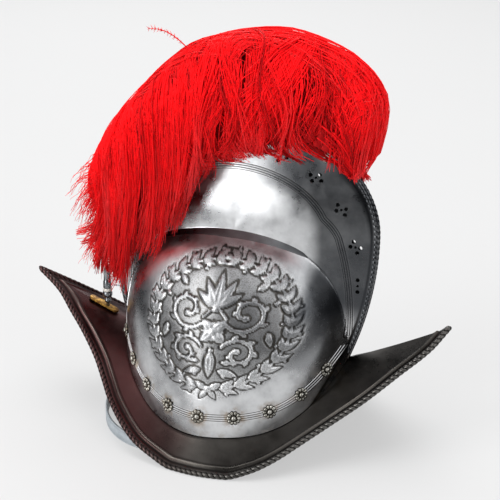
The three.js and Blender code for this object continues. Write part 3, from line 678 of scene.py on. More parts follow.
@dataclass(frozen=True)
class PolishedSteel:
    """Beaten steel, polished by hand, with soft clouds, fine scratches and stains."""

    name: str
    light: Colour = (0.78, 0.79, 0.80)
    dark: Colour = (0.32, 0.325, 0.335)
    rough_low: float = 0.21
    rough_high: float = 0.38
    cloud: float = 14.0
    scratch: float = 0.00002
    chased: bool = False
    lines: bool = False

    def build(self) -> Material:
        """Make the material.

        Returns:
            The material, with its lines, and its painted recess shade, painted shade on the comb, matt ground
            and stains where the steel has them.
        """
        n = material_nodes(self.name)
        cloud = n.noise(self.cloud, 5.0, 0.6)
        fine = n.noise(self.cloud * 9.0, 6.0, 0.65)
        brushed = n.noise(420.0, 3.0, 0.6, (0.12, 1.0, 2.2))
        hammer = n.noise(55.0, 2.0, 0.4)
        base = n.mix(n.span(cloud, 0.38, 0.66, 0.0, 1.0), self.dark, self.light)
        base = n.mix(n.span(fine, 0.55, 0.8, 0.0, 0.35), base, self.dark)
        mixed = n.math("ADD", cloud, n.math("MULTIPLY", fine, 0.5))
        rough = n.span(mixed, 0.5, 1.0, self.rough_low, self.rough_high)
        normal = n.bump(n.math("MULTIPLY", brushed, 0.5), self.scratch)
        normal = n.bump(hammer, 0.00025, 0.35, normal)
        if self.lines:
            base = self.draw_line(n, self.draw_line(n, base, "comb_line"), "foot_line")
        if self.chased:
            base = self.draw_chasing(n, base, cloud)
            stain = n.math("MULTIPLY", n.attribute("stain"), n.span(fine, 0.42, 0.62, 0.0, 1.0))
            base = n.mix(n.math("MULTIPLY", stain, 0.55), base, (0.30, 0.19, 0.075))
            rough = n.math("ADD", rough, n.math("MULTIPLY", stain, 0.25))
            rough = n.math("ADD", rough, n.math("MULTIPLY", n.attribute("matt"), 0.13))
        return n.finish(Base_Color=base, Roughness=rough, Normal=normal, Metallic=1.0)

    def draw_line(self, n: Nodes, base: Socket, name: str) -> Socket:
        """Colour a triple line, bright on its wires and black between them.

        Args:
            n: the material's nodes.
            base: the colour so far.
            name: the mesh's number that holds the distance to the line, in metres.

        Returns:
            The colour with the line.
        """
        across = n.math("ABSOLUTE", n.attribute(name))
        near = n.math("LESS_THAN", across, 0.0036)
        wave = n.math("COSINE", n.math("MULTIPLY", across, 2.0 * math.pi / 0.00185))
        gap = n.math("MULTIPLY", n.span(wave, -1.0, 0.2, 1.0, 0.0), near)
        ridge = n.math("MULTIPLY", n.math("SUBTRACT", near, gap), 0.6)
        base = n.mix(ridge, base, (0.86, 0.86, 0.87))
        return n.mix(n.math("MULTIPLY", gap, 0.88), base, (0.035, 0.033, 0.031))

    def draw_chasing(self, n: Nodes, base: Socket,
                     cloud: Socket) -> Socket:
        """Colour the painted shade in the recesses, the matt ground, the painted shade in the rope's cuts
        with the dark seam, and the painted shade on the comb.

        Args:
            n: the material's nodes.
            base: the colour so far.
            cloud: the steel's clouds.

        Returns:
            The colour with all of them.
        """
        # Painted shade, near black, in the outlines round the ornament and other creases, and a painted
        # shadow line beside the rope.
        base = n.mix(n.span(n.attribute("chased"), 0.05, 0.75, 0.0, 0.93), base, (0.038, 0.034, 0.029))
        fleck = n.span(n.noise(1000.0, 2.0, 0.7), 0.46, 0.62, 0.0, 0.5)
        base = n.mix(n.math("MULTIPLY", fleck, n.attribute("matt")), base, (0.10, 0.09, 0.078))
        # Painted shade in the rope's cuts, and the dark seam between the two halves.
        base = n.tint(base, "cut", 0.9, (0.02, 0.02, 0.02))
        # Painted shade and a painted dark reflection on the comb, read from the mesh's shade.
        shade = n.math("MULTIPLY", n.attribute("shade"), n.span(cloud, 0.3, 0.7, 1.0, 0.88))
        return n.mix(shade, base, (0.035, 0.038, 0.043))


@dataclass(frozen=True)
class DarkSteel:
    """Dark brown steel of the brim, with a painted maroon reflection of the plume towards the back, a painted
    highlight on the rope towards the front, lighter on the ridge, and painted shade black in the groove and
    the rope's cuts.
    """

    name: str = "dark steel"

    def build(self) -> Material:
        """Make the material.

        Returns:
            The material.
        """
        n = material_nodes(self.name)
        cloud = n.noise(16.0, 5.0, 0.6)
        fine = n.noise(190.0, 6.0, 0.65)
        base = n.mix(n.span(cloud, 0.35, 0.68, 0.0, 1.0), (0.022, 0.020, 0.018), (0.062, 0.057, 0.052))
        base = n.mix(n.span(fine, 0.55, 0.8, 0.0, 0.4), base, (0.035, 0.03, 0.028))
        # Painted maroon reflection of the plume on the back of the brim.
        base = n.tint(base, "warm", 0.75, (0.085, 0.030, 0.030))
        # Painted highlight on the rope, stronger towards the front.
        base = n.tint(base, "rope", 0.6, (0.17, 0.165, 0.155))
        base = n.tint(base, "ridge", 0.5, (0.20, 0.185, 0.165))
        # Painted shade, near black, in the brim's groove and the rope's cuts.
        base = n.mix(n.span(n.attribute("chased"), 0.1, 0.8, 0.0, 0.9), base, (0.012, 0.011, 0.010))
        rough = n.span(n.math("ADD", cloud, n.math("MULTIPLY", fine, 0.5)), 0.5, 1.0, 0.24, 0.44)
        normal = n.bump(n.noise(420.0, 3.0, 0.6, (0.12, 1.0, 2.2)), 0.00002)
        normal = n.bump(n.noise(45.0, 2.0, 0.4), 0.0003, 0.35, normal)
        return n.finish(Base_Color=base, Roughness=rough, Normal=normal, Metallic=1.0)


@dataclass(frozen=True)
class AgedBrass:
    """Brass with brown tarnish."""

    name: str = "aged brass"

    def build(self) -> Material:
        """Make the material.

        Returns:
            The material.
        """
        n = material_nodes(self.name)
        cloud = n.noise(160.0, 5.0, 0.65)
        base = n.mix(n.span(cloud, 0.4, 0.65, 0.0, 1.0), (0.16, 0.075, 0.02), (0.62, 0.36, 0.08))
        normal = n.bump(n.noise(700.0, 3.0), 0.00006, 0.6)
        rough = n.span(cloud, 0.3, 0.7, 0.5, 0.28)
        return n.finish(Base_Color=base, Roughness=rough, Normal=normal, Metallic=1.0)


@dataclass(frozen=True)
class WhiteRing:
    """Smooth off white ring with a trace of dirt."""

    name: str = "off white ring"

    def build(self) -> Material:
        """Make the material.

        Returns:
            The material.
        """
        n = material_nodes(self.name)
        dirt = n.noise(500.0, 4.0, 0.6)
        base = n.mix(n.span(dirt, 0.5, 0.75, 0.0, 0.6), (0.78, 0.76, 0.70), (0.42, 0.38, 0.32))
        rough = n.span(dirt, 0.3, 0.7, 0.35, 0.55)
        return n.finish(Base_Color=base, Roughness=rough, Normal=n.bump(dirt, 0.00004, 0.5))


@dataclass(frozen=True)
class DyedBarbs:
    """Dyed ostrich barbs, darker at the root, darker inside the plume as painted shade, lighter and pinker at
    the tip.
    """

    name: str
    deep: Colour = (0.34, 0.0005, 0.002)
    full: Colour = (0.91, 0.003, 0.006)
    pale: Colour = (0.95, 0.060, 0.065)
    sheen: float = 0.08

    def build(self) -> Material:
        """Make the material.

        Returns:
            The material, which reads each barb's colour value with its painted depth shade, and the place
            along it.
        """
        n = material_nodes(self.name)
        # Each barb's own colour value, lowered for barbs deep in the plume as painted shade.
        tone = n.attribute("tone")
        along = n.attribute("along")
        speckle = n.noise(900.0, 3.0, 0.7)
        base = n.mix(n.span(tone, 0.0, 0.45, 0.0, 1.0), self.deep, self.full)
        tip = n.math("MULTIPLY", n.span(along, 0.45, 1.0, 0.0, 0.75), n.span(tone, 0.3, 1.0, 0.0, 1.0))
        base = n.mix(tip, base, self.pale)
        base = n.mix(n.span(speckle, 0.5, 0.75, 0.0, 0.25), base, self.deep)
        rough = n.span(speckle, 0.3, 0.7, 0.5, 0.8)
        return n.finish(Base_Color=base, Roughness=rough, Sheen_Weight=self.sheen,
                        Sheen_Tint=(1.0, 0.35, 0.32), Sheen_Roughness=0.45, Specular_IOR_Level=0.12,
                        Normal=n.bump(speckle, 0.0002, 0.5))


@dataclass(frozen=True)
class StrapLeather:
    """Smooth pale grey leather, with its inner face painted darker as shade, and fine creases."""

    name: str = "grey leather"

    def build(self) -> Material:
        """Make the material.

        Returns:
            The material, which reads where the inner face, painted darker as shade, and the creases along the
            edges are.
        """
        n = material_nodes(self.name)
        grain = n.noise(1500.0, 4.0, 0.6)
        cloud = n.noise(70.0, 4.0, 0.6)
        outer = n.mix(n.span(cloud, 0.35, 0.7, 0.0, 1.0), (0.33, 0.37, 0.40), (0.43, 0.47, 0.50))
        inner = n.mix(n.span(grain, 0.35, 0.7, 0.0, 1.0), (0.13, 0.15, 0.16), (0.20, 0.22, 0.235))
        # The inner face is painted darker: painted shade.
        base = n.mix(n.attribute("inside"), outer, inner)
        base = n.tint(base, "edge", 0.45, (0.12, 0.13, 0.14))
        rough = n.span(grain, 0.3, 0.7, 0.42, 0.62)
        return n.finish(Base_Color=base, Roughness=rough, Normal=n.bump(grain, 0.00012, 0.7))


def set_numbers(obj: Piece, **layers: object) -> None:
    """Store numbers on each point of a mesh.

    Args:
        obj: the piece.
        layers: for each name, an array or one number for all points.
    """
    for name, values in layers.items():
        layer = obj.data.attributes.new(name, "FLOAT", "POINT")
        full = np.broadcast_to(values, len(obj.data.vertices))
        layer.data.foreach_set("value", np.ascontiguousarray(full, np.float32))


def points_of(obj: Piece) -> Array:
    """Points of an object's mesh.

    Args:
        obj: the piece.

    Returns:
        The points in millimetres.
    """
    co = np.empty(len(obj.data.vertices) * 3, np.float32)
    obj.data.vertices.foreach_get("co", co)
    return co.reshape(-1, 3).astype(float) / MM


def carve(obj: Piece, tools: list[tuple[str, Surface]]) -> Piece:
    """Cut and join solids into an object.

    Args:
        obj: the object that is worked on.
        tools: pairs of an operation, UNION or DIFFERENCE, and a solid.

    Returns:
        The same object with its new mesh.
    """
    for operation, solid in tools:
        tool = solid.to_object("tool")
        mod = obj.modifiers.new("carve", "BOOLEAN")
        mod.operation = operation
        mod.solver = "MANIFOLD"
        mod.object = tool
        depsgraph = bpy.context.evaluated_depsgraph_get()
        mesh = bpy.data.meshes.new_from_object(obj.evaluated_get(depsgraph))
        obj.modifiers.remove(mod)
        old = obj.data
        obj.data = mesh
        bpy.data.meshes.remove(old)
        bpy.data.objects.remove(tool)
    return obj


def dress(obj: Piece, material: Material, nodes: list[str],
          sharp: float | None = 35.0) -> Piece:
    """Finish a piece: smooth shading, its material, and its place in the frame.

    Args:
        obj: the piece.
        material: its finish.
        nodes: the CAD nodes that it stands for.
        sharp: angle in degrees above which an edge stays sharp, or None.

    Returns:
        The piece.
    """
    mesh = obj.data
    mesh.polygons.foreach_set("use_smooth", np.ones(len(mesh.polygons), bool))
    if sharp is not None:
        mesh.set_sharp_from_angle(angle=math.radians(sharp))
    mesh.materials.clear()
    mesh.materials.append(material)
    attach(obj, "root")
    if nodes:
        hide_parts(*nodes)
    return obj


def path_distance(points: Array, path: Array) -> Array:
    """Signed distance of points to a path, both in a plane.

    Args:
        points: rows of two numbers.
        path: rows of two numbers.

    Returns:
        The distances, above zero on the path's left.
    """
    best = np.full(len(points), 1e9)
    sign = np.ones(len(points))
    for a, b in zip(path[:-1], path[1:]):
        ab = b - a
        t = np.clip(((points - a) @ ab) / (ab @ ab), 0.0, 1.0)
        v = points - (a + t[:, None] * ab)
        d = np.hypot(v[:, 0], v[:, 1])
        near = d < best
        best = np.where(near, d, best)
        sign = np.where(near, np.sign(ab[0] * v[:, 1] - ab[1] * v[:, 0]), sign)
    return best * np.where(sign == 0, 1.0, sign)


@dataclass
class Relief:
    """Raised ornament on the side of the bowl: a laurel wreath round scrolls, leaves and a flower.

    Places are millimetres on the skin, across and up from the ornament's middle.
    """

    middle_x: float = 9.5
    middle_z: float = 112.0
    scale_x: float = 0.97
    scale_z: float = 0.8
    wreath_r: float = 59.5
    sprigs: int = 15
    leaves: list[tuple[float, ...]] = field(default_factory=list)
    ribs: list[tuple[Array, float, float]] = field(default_factory=list)
    bosses: list[tuple[float, ...]] = field(default_factory=list)

    def __post_init__(self) -> None:
        """Lay out the design."""
        self.lay_wreath()
        self.lay_middle()

    def leaf(self, *shape: float) -> None:
        """Add a leaf, as x and y of its root, turn, length, half width and height."""
        self.leaves.append(shape)

    def boss(self, *shape: float) -> None:
        """Add a round boss, as x, y, radius and height."""
        self.bosses.append(shape)

    def lay_wreath(self) -> None:
        """Two laurel branches with berries, from the tie at the bottom to the top."""
        for side in (-1.0, 1.0):
            stem = []
            for i in range(self.sprigs):
                share = i / (self.sprigs - 1)
                a = -math.pi / 2 + side * (0.17 + 2.80 * share)
                along = a + side * math.pi / 2
                x, y = self.wreath_r * math.cos(a), self.wreath_r * math.sin(a)
                stem.append((x, y))
                long = 15.0 - 3.0 * share
                self.leaf(x, y, along - side * 0.52, long, 3.0, 1.35)
                self.leaf(x, y, along + side * 0.52, long, 3.0, 1.35)
                self.leaf(x, y, along, long * 0.8, 2.2, 1.6)
                reach, turn = ((6.9, 1.35), (-6.7, 1.1))[i % 2]
                b = a + side * turn / self.wreath_r * 3.0
                r = self.wreath_r + reach
                self.boss(r * math.cos(b), r * math.sin(b), 1.55, 1.3)
            self.ribs.append((np.array(stem), 0.9, 0.9))
        for side in (-1.0, 1.0):
            turn = side * 0.6 - (0 if side > 0 else math.pi)
            self.leaf(side * 1.5, -self.wreath_r, turn, 12.0, 3.4, 1.3)
            self.leaf(side * 1.0, -self.wreath_r - 1.0, -math.pi / 2 + side * 0.55, 11.0, 2.4, 1.2)
        self.boss(0.0, -self.wreath_r, 3.2, 1.9)
        self.boss(0.0, self.wreath_r + 1.0, 2.6, 1.6)

    def scroll(self, side: float, x: float, y: float, r: float, turns: float, start: float) -> Array:
        """Points of a scroll that winds inwards.

        Args:
            side: -1 or 1, 1 as given.
            x: its middle across.
            y: its middle up.
            r: its radius outside.
            turns: how often it winds, below zero clockwise.
            start: angle at its outer end.

        Returns:
            Rows of (across, up).
        """
        t = shares(40)
        radius = r * (1.0 - 0.78 * t)
        a = start + turns * 2.0 * math.pi * t
        return np.stack([side * (x + radius * np.cos(a)), y + radius * np.sin(a)], -1)

    def lay_middle(self) -> None:
        """Four scrolls, a palmette, a flower of four petals and hanging leaves."""
        for side in (-1.0, 1.0):
            upper = self.scroll(side, 25.0, 14.0, 18.0, 1.15, math.pi * 1.2)
            lower = self.scroll(side, 22.0, -24.0, 15.0, -1.1, math.pi * 0.85)
            for path, half in ((upper, 1.7), (lower, 1.6)):
                self.ribs.append((path, half, 1.3))
                self.boss(path[-1, 0], path[-1, 1], 3.0, 1.7)
                for k in range(4, 30, 5):
                    ahead = path[k + 1] - path[k]
                    turn = math.atan2(ahead[1], ahead[0])
                    middle = path.mean(0)
                    out = path[k] - middle
                    swing = 0.75 if ahead[0] * out[1] - ahead[1] * out[0] > 0 else -0.75
                    self.leaf(path[k, 0], path[k, 1], turn + swing, 8.5 - 0.12 * k, 2.2, 1.15)
            for x, y, turn, long, half, high in ((7.0, -40.0, -0.35, 17.0, 3.8, 1.4),
                                                 (9.0, -32.0, -0.05, 11.0, 2.4, 1.2),
                                                 (30.0, 34.0, 0.7, 12.0, 3.0, 1.3)):
                self.leaf(side * x, y, turn if side > 0 else math.pi - turn, long, half, high)
            self.leaf(side * 43.0, -4.0, -math.pi / 2 + side * 0.2, 15.0, 3.0, 1.3)
            stem = np.array([(side * 10.0, 9.0), (side * 6.0, 14.0), (side * 1.6, 18.0)])
            self.ribs.append((stem, 1.2, 1.1))
            for x, y, r, high in ((8.5, 27.0, 1.5, 1.3), (46.0, 22.0, 1.8, 1.4), (12.0, -46.0, 1.6, 1.4)):
                self.boss(side * x, y, r, high)
        for i in range(-2, 3):
            self.leaf(0.0, 19.0, math.pi / 2 + i * 0.5, 31.0 - abs(i) * 4.0, 4.2, 1.6)
        self.boss(0.0, 18.0, 3.2, 1.8)
        for i in range(4):
            self.leaf(0.0, -3.0, i * math.pi / 2 + math.pi / 4, 15.0, 5.0, 1.7)
            self.leaf(0.0, -3.0, i * math.pi / 2, 10.5, 2.2, 1.2)
        self.boss(0.0, -3.0, 3.6, 2.3)
        self.leaf(0.0, -22.0, -math.pi / 2, 26.0, 4.6, 1.6)
        self.boss(0.0, -21.0, 2.4, 1.6)

    def at(self, x: Array, z: Array) -> tuple[Array, Array]:
        """Places in the ornament's own plane."""
        return (x - self.middle_x) / self.scale_x, (z - self.middle_z) / self.scale_z

    def height(self, x: Array, z: Array) -> tuple[Array, Array]:
        """Relief over places in the middle plane.

        Args:
            x: places along X.
            z: places along Z.

        Returns:
            The rise of the relief, and the depth of the chased outlines beside it, both above zero.
        """
        a, b = self.at(x.ravel(), z.ravel())
        rise = np.zeros_like(a)
        groove = np.zeros_like(a)
        near = np.flatnonzero(np.hypot(a, b) < self.wreath_r + 24.0)
        la, lb = a[near], b[near]
        top, cut = np.zeros_like(la), np.zeros_like(la)
        for x0, y0, turn, long, half, high in self.leaves:
            m = np.flatnonzero(np.hypot(la - x0, lb - y0) < long + 3.0)
            t = ((la[m] - x0) * math.cos(turn) + (lb[m] - y0) * math.sin(turn)) / long
            s = -(la[m] - x0) * math.sin(turn) + (lb[m] - y0) * math.cos(turn)
            tc = np.clip(t, 0.0, 1.0)
            wide = half * np.sin(math.pi * tc ** 0.8) ** 0.85
            d = np.where((t > 0) & (t < 1), np.abs(s) - wide, np.hypot(s, (t - tc) * long))
            body = high * smooth(-d / (0.55 * half) + 0.1) * (0.65 + 0.35 * np.sin(math.pi * tc))
            body -= 0.4 * high * bell(s, 0.55) * (t > 0.08) * (t < 0.9) * (d < 0)
            top[m] = np.maximum(top[m], np.where(d < 0.1 * half, body, 0.0))
            cut[m] = np.maximum(cut[m], bell(d - 0.5, 0.7))
        for path, half, high in self.ribs:
            d = np.abs(path_distance(np.stack([la, lb], -1), path))
            body = high * np.sqrt(np.clip(1.0 - (d / half) ** 2, 0.0, 1.0))
            top = np.maximum(top, body)
            cut = np.maximum(cut, bell(d - half - 0.4, 0.7))
        for x0, y0, r, high in self.bosses:
            d = np.hypot(la - x0, lb - y0)
            body = high * np.sqrt(np.clip(1.0 - (d / r) ** 2, 0.0, 1.0))
            top = np.maximum(top, body)
            cut = np.maximum(cut, bell(d - r - 0.4, 0.6))
        rise[near] = top
        groove[near] = cut * (1.0 - smooth(top / 0.55))
        return rise.reshape(x.shape), groove.reshape(x.shape)


@dataclass
class SkullShells:
    """The two half shells of bowl and comb, with roped edge, pierced work, lines and ornament."""

    columns: int = 280
    rows: int = 168
    inner_rows: int = 28
    bead_r: float = 2.15
    rope_pitch: float = 4.4
    rope_step: float = 0.62
    rope_cut: float = 0.24
    hole_pitch: float = 33.4
    hole_groups: int = 5
    hole_r: float = 1.7
    hole_r_small: float = 1.1
    rise_share: float = 0.72
    groove_share: float = 0.35
    waist: float = 1.1
    line_pitch: float = 1.85
    line_r: float = 0.55
    shank_r: float = 1.5
    relief: Relief = field(default_factory=Relief)

    def crowded(self, count: int, low: float, high: float, start: float, end: float) -> Array:
        """Places from 0.0 to 1.0 that stand closer between low and high.

        Args:
            count: how many steps.
            low: where the crowding begins.
            high: where it ends.
            start: value at 0.0.
            end: value at 1.0.

        Returns:
            The places, moved to the range.
        """
        t = shares(2001)
        weight = 1.0 + 1.7 * smooth((t - low) / 0.06 + 0.5) * smooth((high - t) / 0.06 + 0.5)
        total = np.concatenate([[0.0], np.cumsum((weight[1:] + weight[:-1]) / 2)])
        at = np.interp(np.linspace(0.0, total[-1], count + 1), total, t)
        return start + (end - start) * at

    def shell(self) -> Surface:
        """The right half shell with its raised ornament.

        Returns:
            The closed shell, with outer and inner skin.
        """
        u = self.crowded(self.columns, 0.2, 0.8, 0.006, 0.994)
        cx, cz = FORM.comb_outline(u)
        c = -np.cos(np.pi * u)
        fx, fz = FORM.foot_x + FORM.foot_half * c, FORM.foot_z(c)
        reach = np.hypot(fx - cx, fz - cz)
        start = np.minimum(2.4 / reach, 0.4)[:, None]

        def rows(v: Array) -> tuple[Array, Array]:
            """Places between the comb's edge and the foot.

            Args:
                v: shares of the way.

            Returns:
                X and Z.
            """
            share = start + (1.0 - start) * v[None, :]
            x = cx[:, None] + (fx - cx)[:, None] * share
            z = cz[:, None] + (fz - cz)[:, None] * share
            return x, z

        x, z = rows(self.crowded(self.rows, 0.36, 0.92, 0.0, 1.0))
        rise, groove = self.relief.height(x, z)
        depth = FORM.comb_depth(x, z)
        raised = self.rise_share * rise - self.groove_share * groove
        outer = FORM.skin(x, z) + FORM.skin_normal(x, z) * raised[..., None]
        outer[..., 1] += self.waist * smooth(1.0 - (depth - 3.0) / 5.0)
        xi, zi = rows(np.linspace(1.0, 0.0, self.inner_rows))
        inner = FORM.skin(xi, zi) - FORM.skin_normal(xi, zi) * FORM.sheet
        inner[:, 0, 2] = fz
        inner[..., 1] = np.minimum(inner[..., 1] + 0.6 * smooth(1.0 - FORM.comb_depth(xi, zi) / 8.0), -0.8)
        return ring_surface(np.concatenate([outer, inner], 1))

    def rope(self) -> Surface:
        """The roped edge of the right half of the comb.

        Returns:
            The rope as a closed bar.
        """
        u = np.linspace(0.004, 0.996, 1200)
        point, out, _ = FORM.comb_frame(u)
        line = resampled(point - out * self.bead_r, self.rope_step)
        ahead = heading(line)
        outward = np.stack([-ahead[:, 2], np.zeros(len(line)), ahead[:, 0]], -1)
        line[:, 1] = -self.bead_r - 0.25
        length = np.arange(len(line)) * self.rope_step
        section = rope_section(length, self.bead_r, self.rope_pitch, self.rope_cut, FORM.rope_sides)
        side = np.tile([0.0, -1.0, 0.0], (len(line), 1))
        return sweep(line, outward, side, section)

    def on_skin(self, path: Array, lift: float) -> tuple[Array, Array]:
        """A path in the middle plane laid on the skin, with the skin's normals."""
        normal = FORM.skin_normal(path[:, 0], path[:, 1])
        return FORM.skin(path[:, 0], path[:, 1]) + normal * lift, normal

    def comb_line(self) -> Array:
        """Middle of the triple line on the comb, as (x, z), where it stands clear of the foot.

        Returns:
            Rows of (x, z).
        """
        path = FORM.band_path(1.0)
        c = np.clip((path[:, 0] - FORM.foot_x) / FORM.foot_half, -1.0, 1.0)
        return path[path[:, 1] > FORM.foot_z(c) + 22.0]

    def foot_line(self) -> Array:
        """Middle of the triple line through the rosettes, as (x, z)."""
        c = -np.cos(np.pi * np.linspace(0.055, 0.945, 260))
        return np.stack([FORM.foot_x + FORM.foot_half * c, FORM.foot_z(c) + FORM.rosette_up], -1)

    def lines(self) -> list[Surface]:
        """Raised wires of both triple lines.

        Returns:
            The wires, three for each line.
        """
        made = []
        section = self.line_r * circle(6)
        for path in (resampled(self.comb_line(), 2.2), resampled(self.foot_line(), 2.0)):
            ahead = heading(path)
            across = np.stack([-ahead[:, 1], ahead[:, 0]], -1)
            for k in (-1.0, 0.0, 1.0):
                line, normal = self.on_skin(path + across * k * self.line_pitch, -0.05)
                tangent = heading(line)
                made.append(sweep(line, unit(np.cross(tangent, normal)), normal, section))
        return made

    def drills(self) -> Surface:
        """Cutters of the pierced groups and of the rosettes' shanks.

        Returns:
            All cutters as one mesh.
        """
        step = 0.5
        band = resampled(FORM.band_path(0.6), step)
        high = band[:, 1] > FORM.comb_z
        middle = int(np.argmin(np.where(high, np.abs(band[:, 0] - FORM.comb_x - 3.0), 1e9)))
        tools = []
        for k in range(-self.hole_groups, self.hole_groups + 1):
            i = int(np.clip(middle + round(k * self.hole_pitch / step), 1, len(band) - 2))
            ahead = unit(band[i + 1] - band[i - 1])
            out = np.array([-ahead[1], ahead[0]])
            if abs(k) == self.hole_groups:
                spots = [(-5.2, 0.0), (5.2, 0.0)]
            else:
                spots = [(-4.9, -0.9), (4.9, 0.9), (0.9, 3.9), (-0.9, -3.9)]
            for a, b in spots:
                tools.append(self.drill(band[i] + ahead * a + out * b, self.hole_r))
            tools.append(self.drill(band[i], self.hole_r_small))
        for place, normal in FORM.rosette_places():
            tools.append(rod(self.shank_r, -4.0, 4.0, 16).moved(facing(normal), place))
        return Surface.joined(tools)

    def drill(self, spot: Array, radius: float) -> Surface:
        """A cutter along Y through the right half of the comb."""
        place = np.array([spot[0], 0.0, spot[1]])
        return rod(radius, 0.3, 60.0, 20).moved(facing((0.0, -1.0, 0.0)), place)

    def paint(self, obj: Piece) -> None:
        """Store what the finish needs: painted recess shade, painted shade in the rope's cuts, the matt
        ground, distance to the lines, stains and painted shade on the comb.

        Args:
            obj: the right shell.
        """
        p = points_of(obj)
        x, z = p[:, 0], p[:, 2]
        c = np.clip((x - FORM.foot_x) / FORM.foot_half, -1.0, 1.0)
        outside = (np.abs(p[:, 1]) > FORM.half_width(x, z) - 1.35).astype(float)
        rise, groove = self.relief.height(x, z)
        a, b = self.relief.at(x, z)
        # Painted shade: the outlines round the ornament darkened, the ground inside the wreath darker, and a
        # painted shadow line beside the rope.
        ground = 0.34 * smooth((self.relief.wreath_r + 6.0 - np.hypot(a, b)) / 12.0) * (rise < 0.25)
        depth = FORM.comb_depth(x, z)
        beside_rope = 0.75 * bell(depth - 5.2, 1.2)
        set_numbers(obj, chased=np.clip(groove + ground + beside_rope, 0.0, 1.0) * outside)
        # Painted shade in the cuts between the rope's strands, with the dark seam where the two halves meet
        # at the edge.
        rope = np.hypot(depth - self.bead_r, np.abs(p[:, 1]) - self.bead_r - 0.25) / self.bead_r
        cut = smooth((0.965 - rope) / 0.09) * (depth < 4.4)
        cut = cut + smooth((1.3 - np.abs(p[:, 1])) / 0.8) * (depth < 3.0)
        matt = smooth((self.relief.wreath_r + 14.0 - np.hypot(a, b)) / 8.0) * outside
        set_numbers(obj, cut=np.clip(cut, 0.0, 1.0), matt=matt)
        plane = np.stack([x, z], -1)
        for name, path in (("comb_line", self.comb_line()), ("foot_line", self.foot_line())):
            far = path_distance(plane, resampled(path, 5.0))
            far = np.clip(far, -9.0, 9.0) * MM * outside + (1.0 - outside) * 9.0 * MM
            set_numbers(obj, **{name: far})
        stain = 0.5 * bell(z - FORM.foot_z(c) - 1.0, 3.0)
        for place, _ in FORM.rosette_places():
            d = np.hypot(x - place[0], z - place[2])
            warm = 1.0 - 0.6 * smooth((place[0] - 20.0) / 60.0)
            stain = np.maximum(stain, warm * bell(np.maximum(d - 6.0, 0.0), 3.5))
        # Painted shade: the upper comb towards the front darkened as a painted dark reflection, a painted
        # shadow line beside the rope, and the inner skin darker as blackened steel.
        front = smooth((x + 15.0) / 75.0)
        comb = smooth(1.0 - (depth - 44.0) / 14.0) * smooth((z - 96.0) / 26.0)
        rim = 0.75 * smooth(1.0 - (depth - 4.6) / 1.6)
        shade = np.maximum(0.92 * front * comb, rim) * outside + 0.85 * (1.0 - outside)
        set_numbers(obj, stain=stain * outside, shade=shade)

    def build(self, material: Material) -> list[Piece]:
        """Both half shells.

        Args:
            material: its finish.

        Returns:
            The right and the left shell.
        """
        right = self.shell().to_object("skull_shell_right")
        tools = [("UNION", self.rope())] + [("UNION", w) for w in self.lines()]
        carve(right, tools + [("DIFFERENCE", self.drills())])
        self.paint(right)
        left = right.copy()
        left.data = right.data.copy()
        left.name = "skull_shell_left"
        left.data.name = "skull_shell_left"
        bpy.context.scene.collection.objects.link(left)
        left.data.transform(Matrix.Scale(-1.0, 4, Vector((0.0, 1.0, 0.0))))
        left.data.flip_normals()
        return [dress(right, material, ["skull_right"], 40.0),
                dress(left, material, ["skull_left"], 40.0)]


def facing(normal: Place) -> Array:
    """A turn that takes +Z to a unit vector, as a matrix of three columns.

    Args:
        normal: the unit vector.

    Returns:
        The matrix.
    """
    n = np.asarray(normal, float)
    helper = np.array([0.0, 0.0, 1.0]) if abs(n[2]) < 0.9 else np.array([1.0, 0.0, 0.0])
    x = unit(np.cross(helper, n))
    return np.stack([x, np.cross(n, x), n], -1)


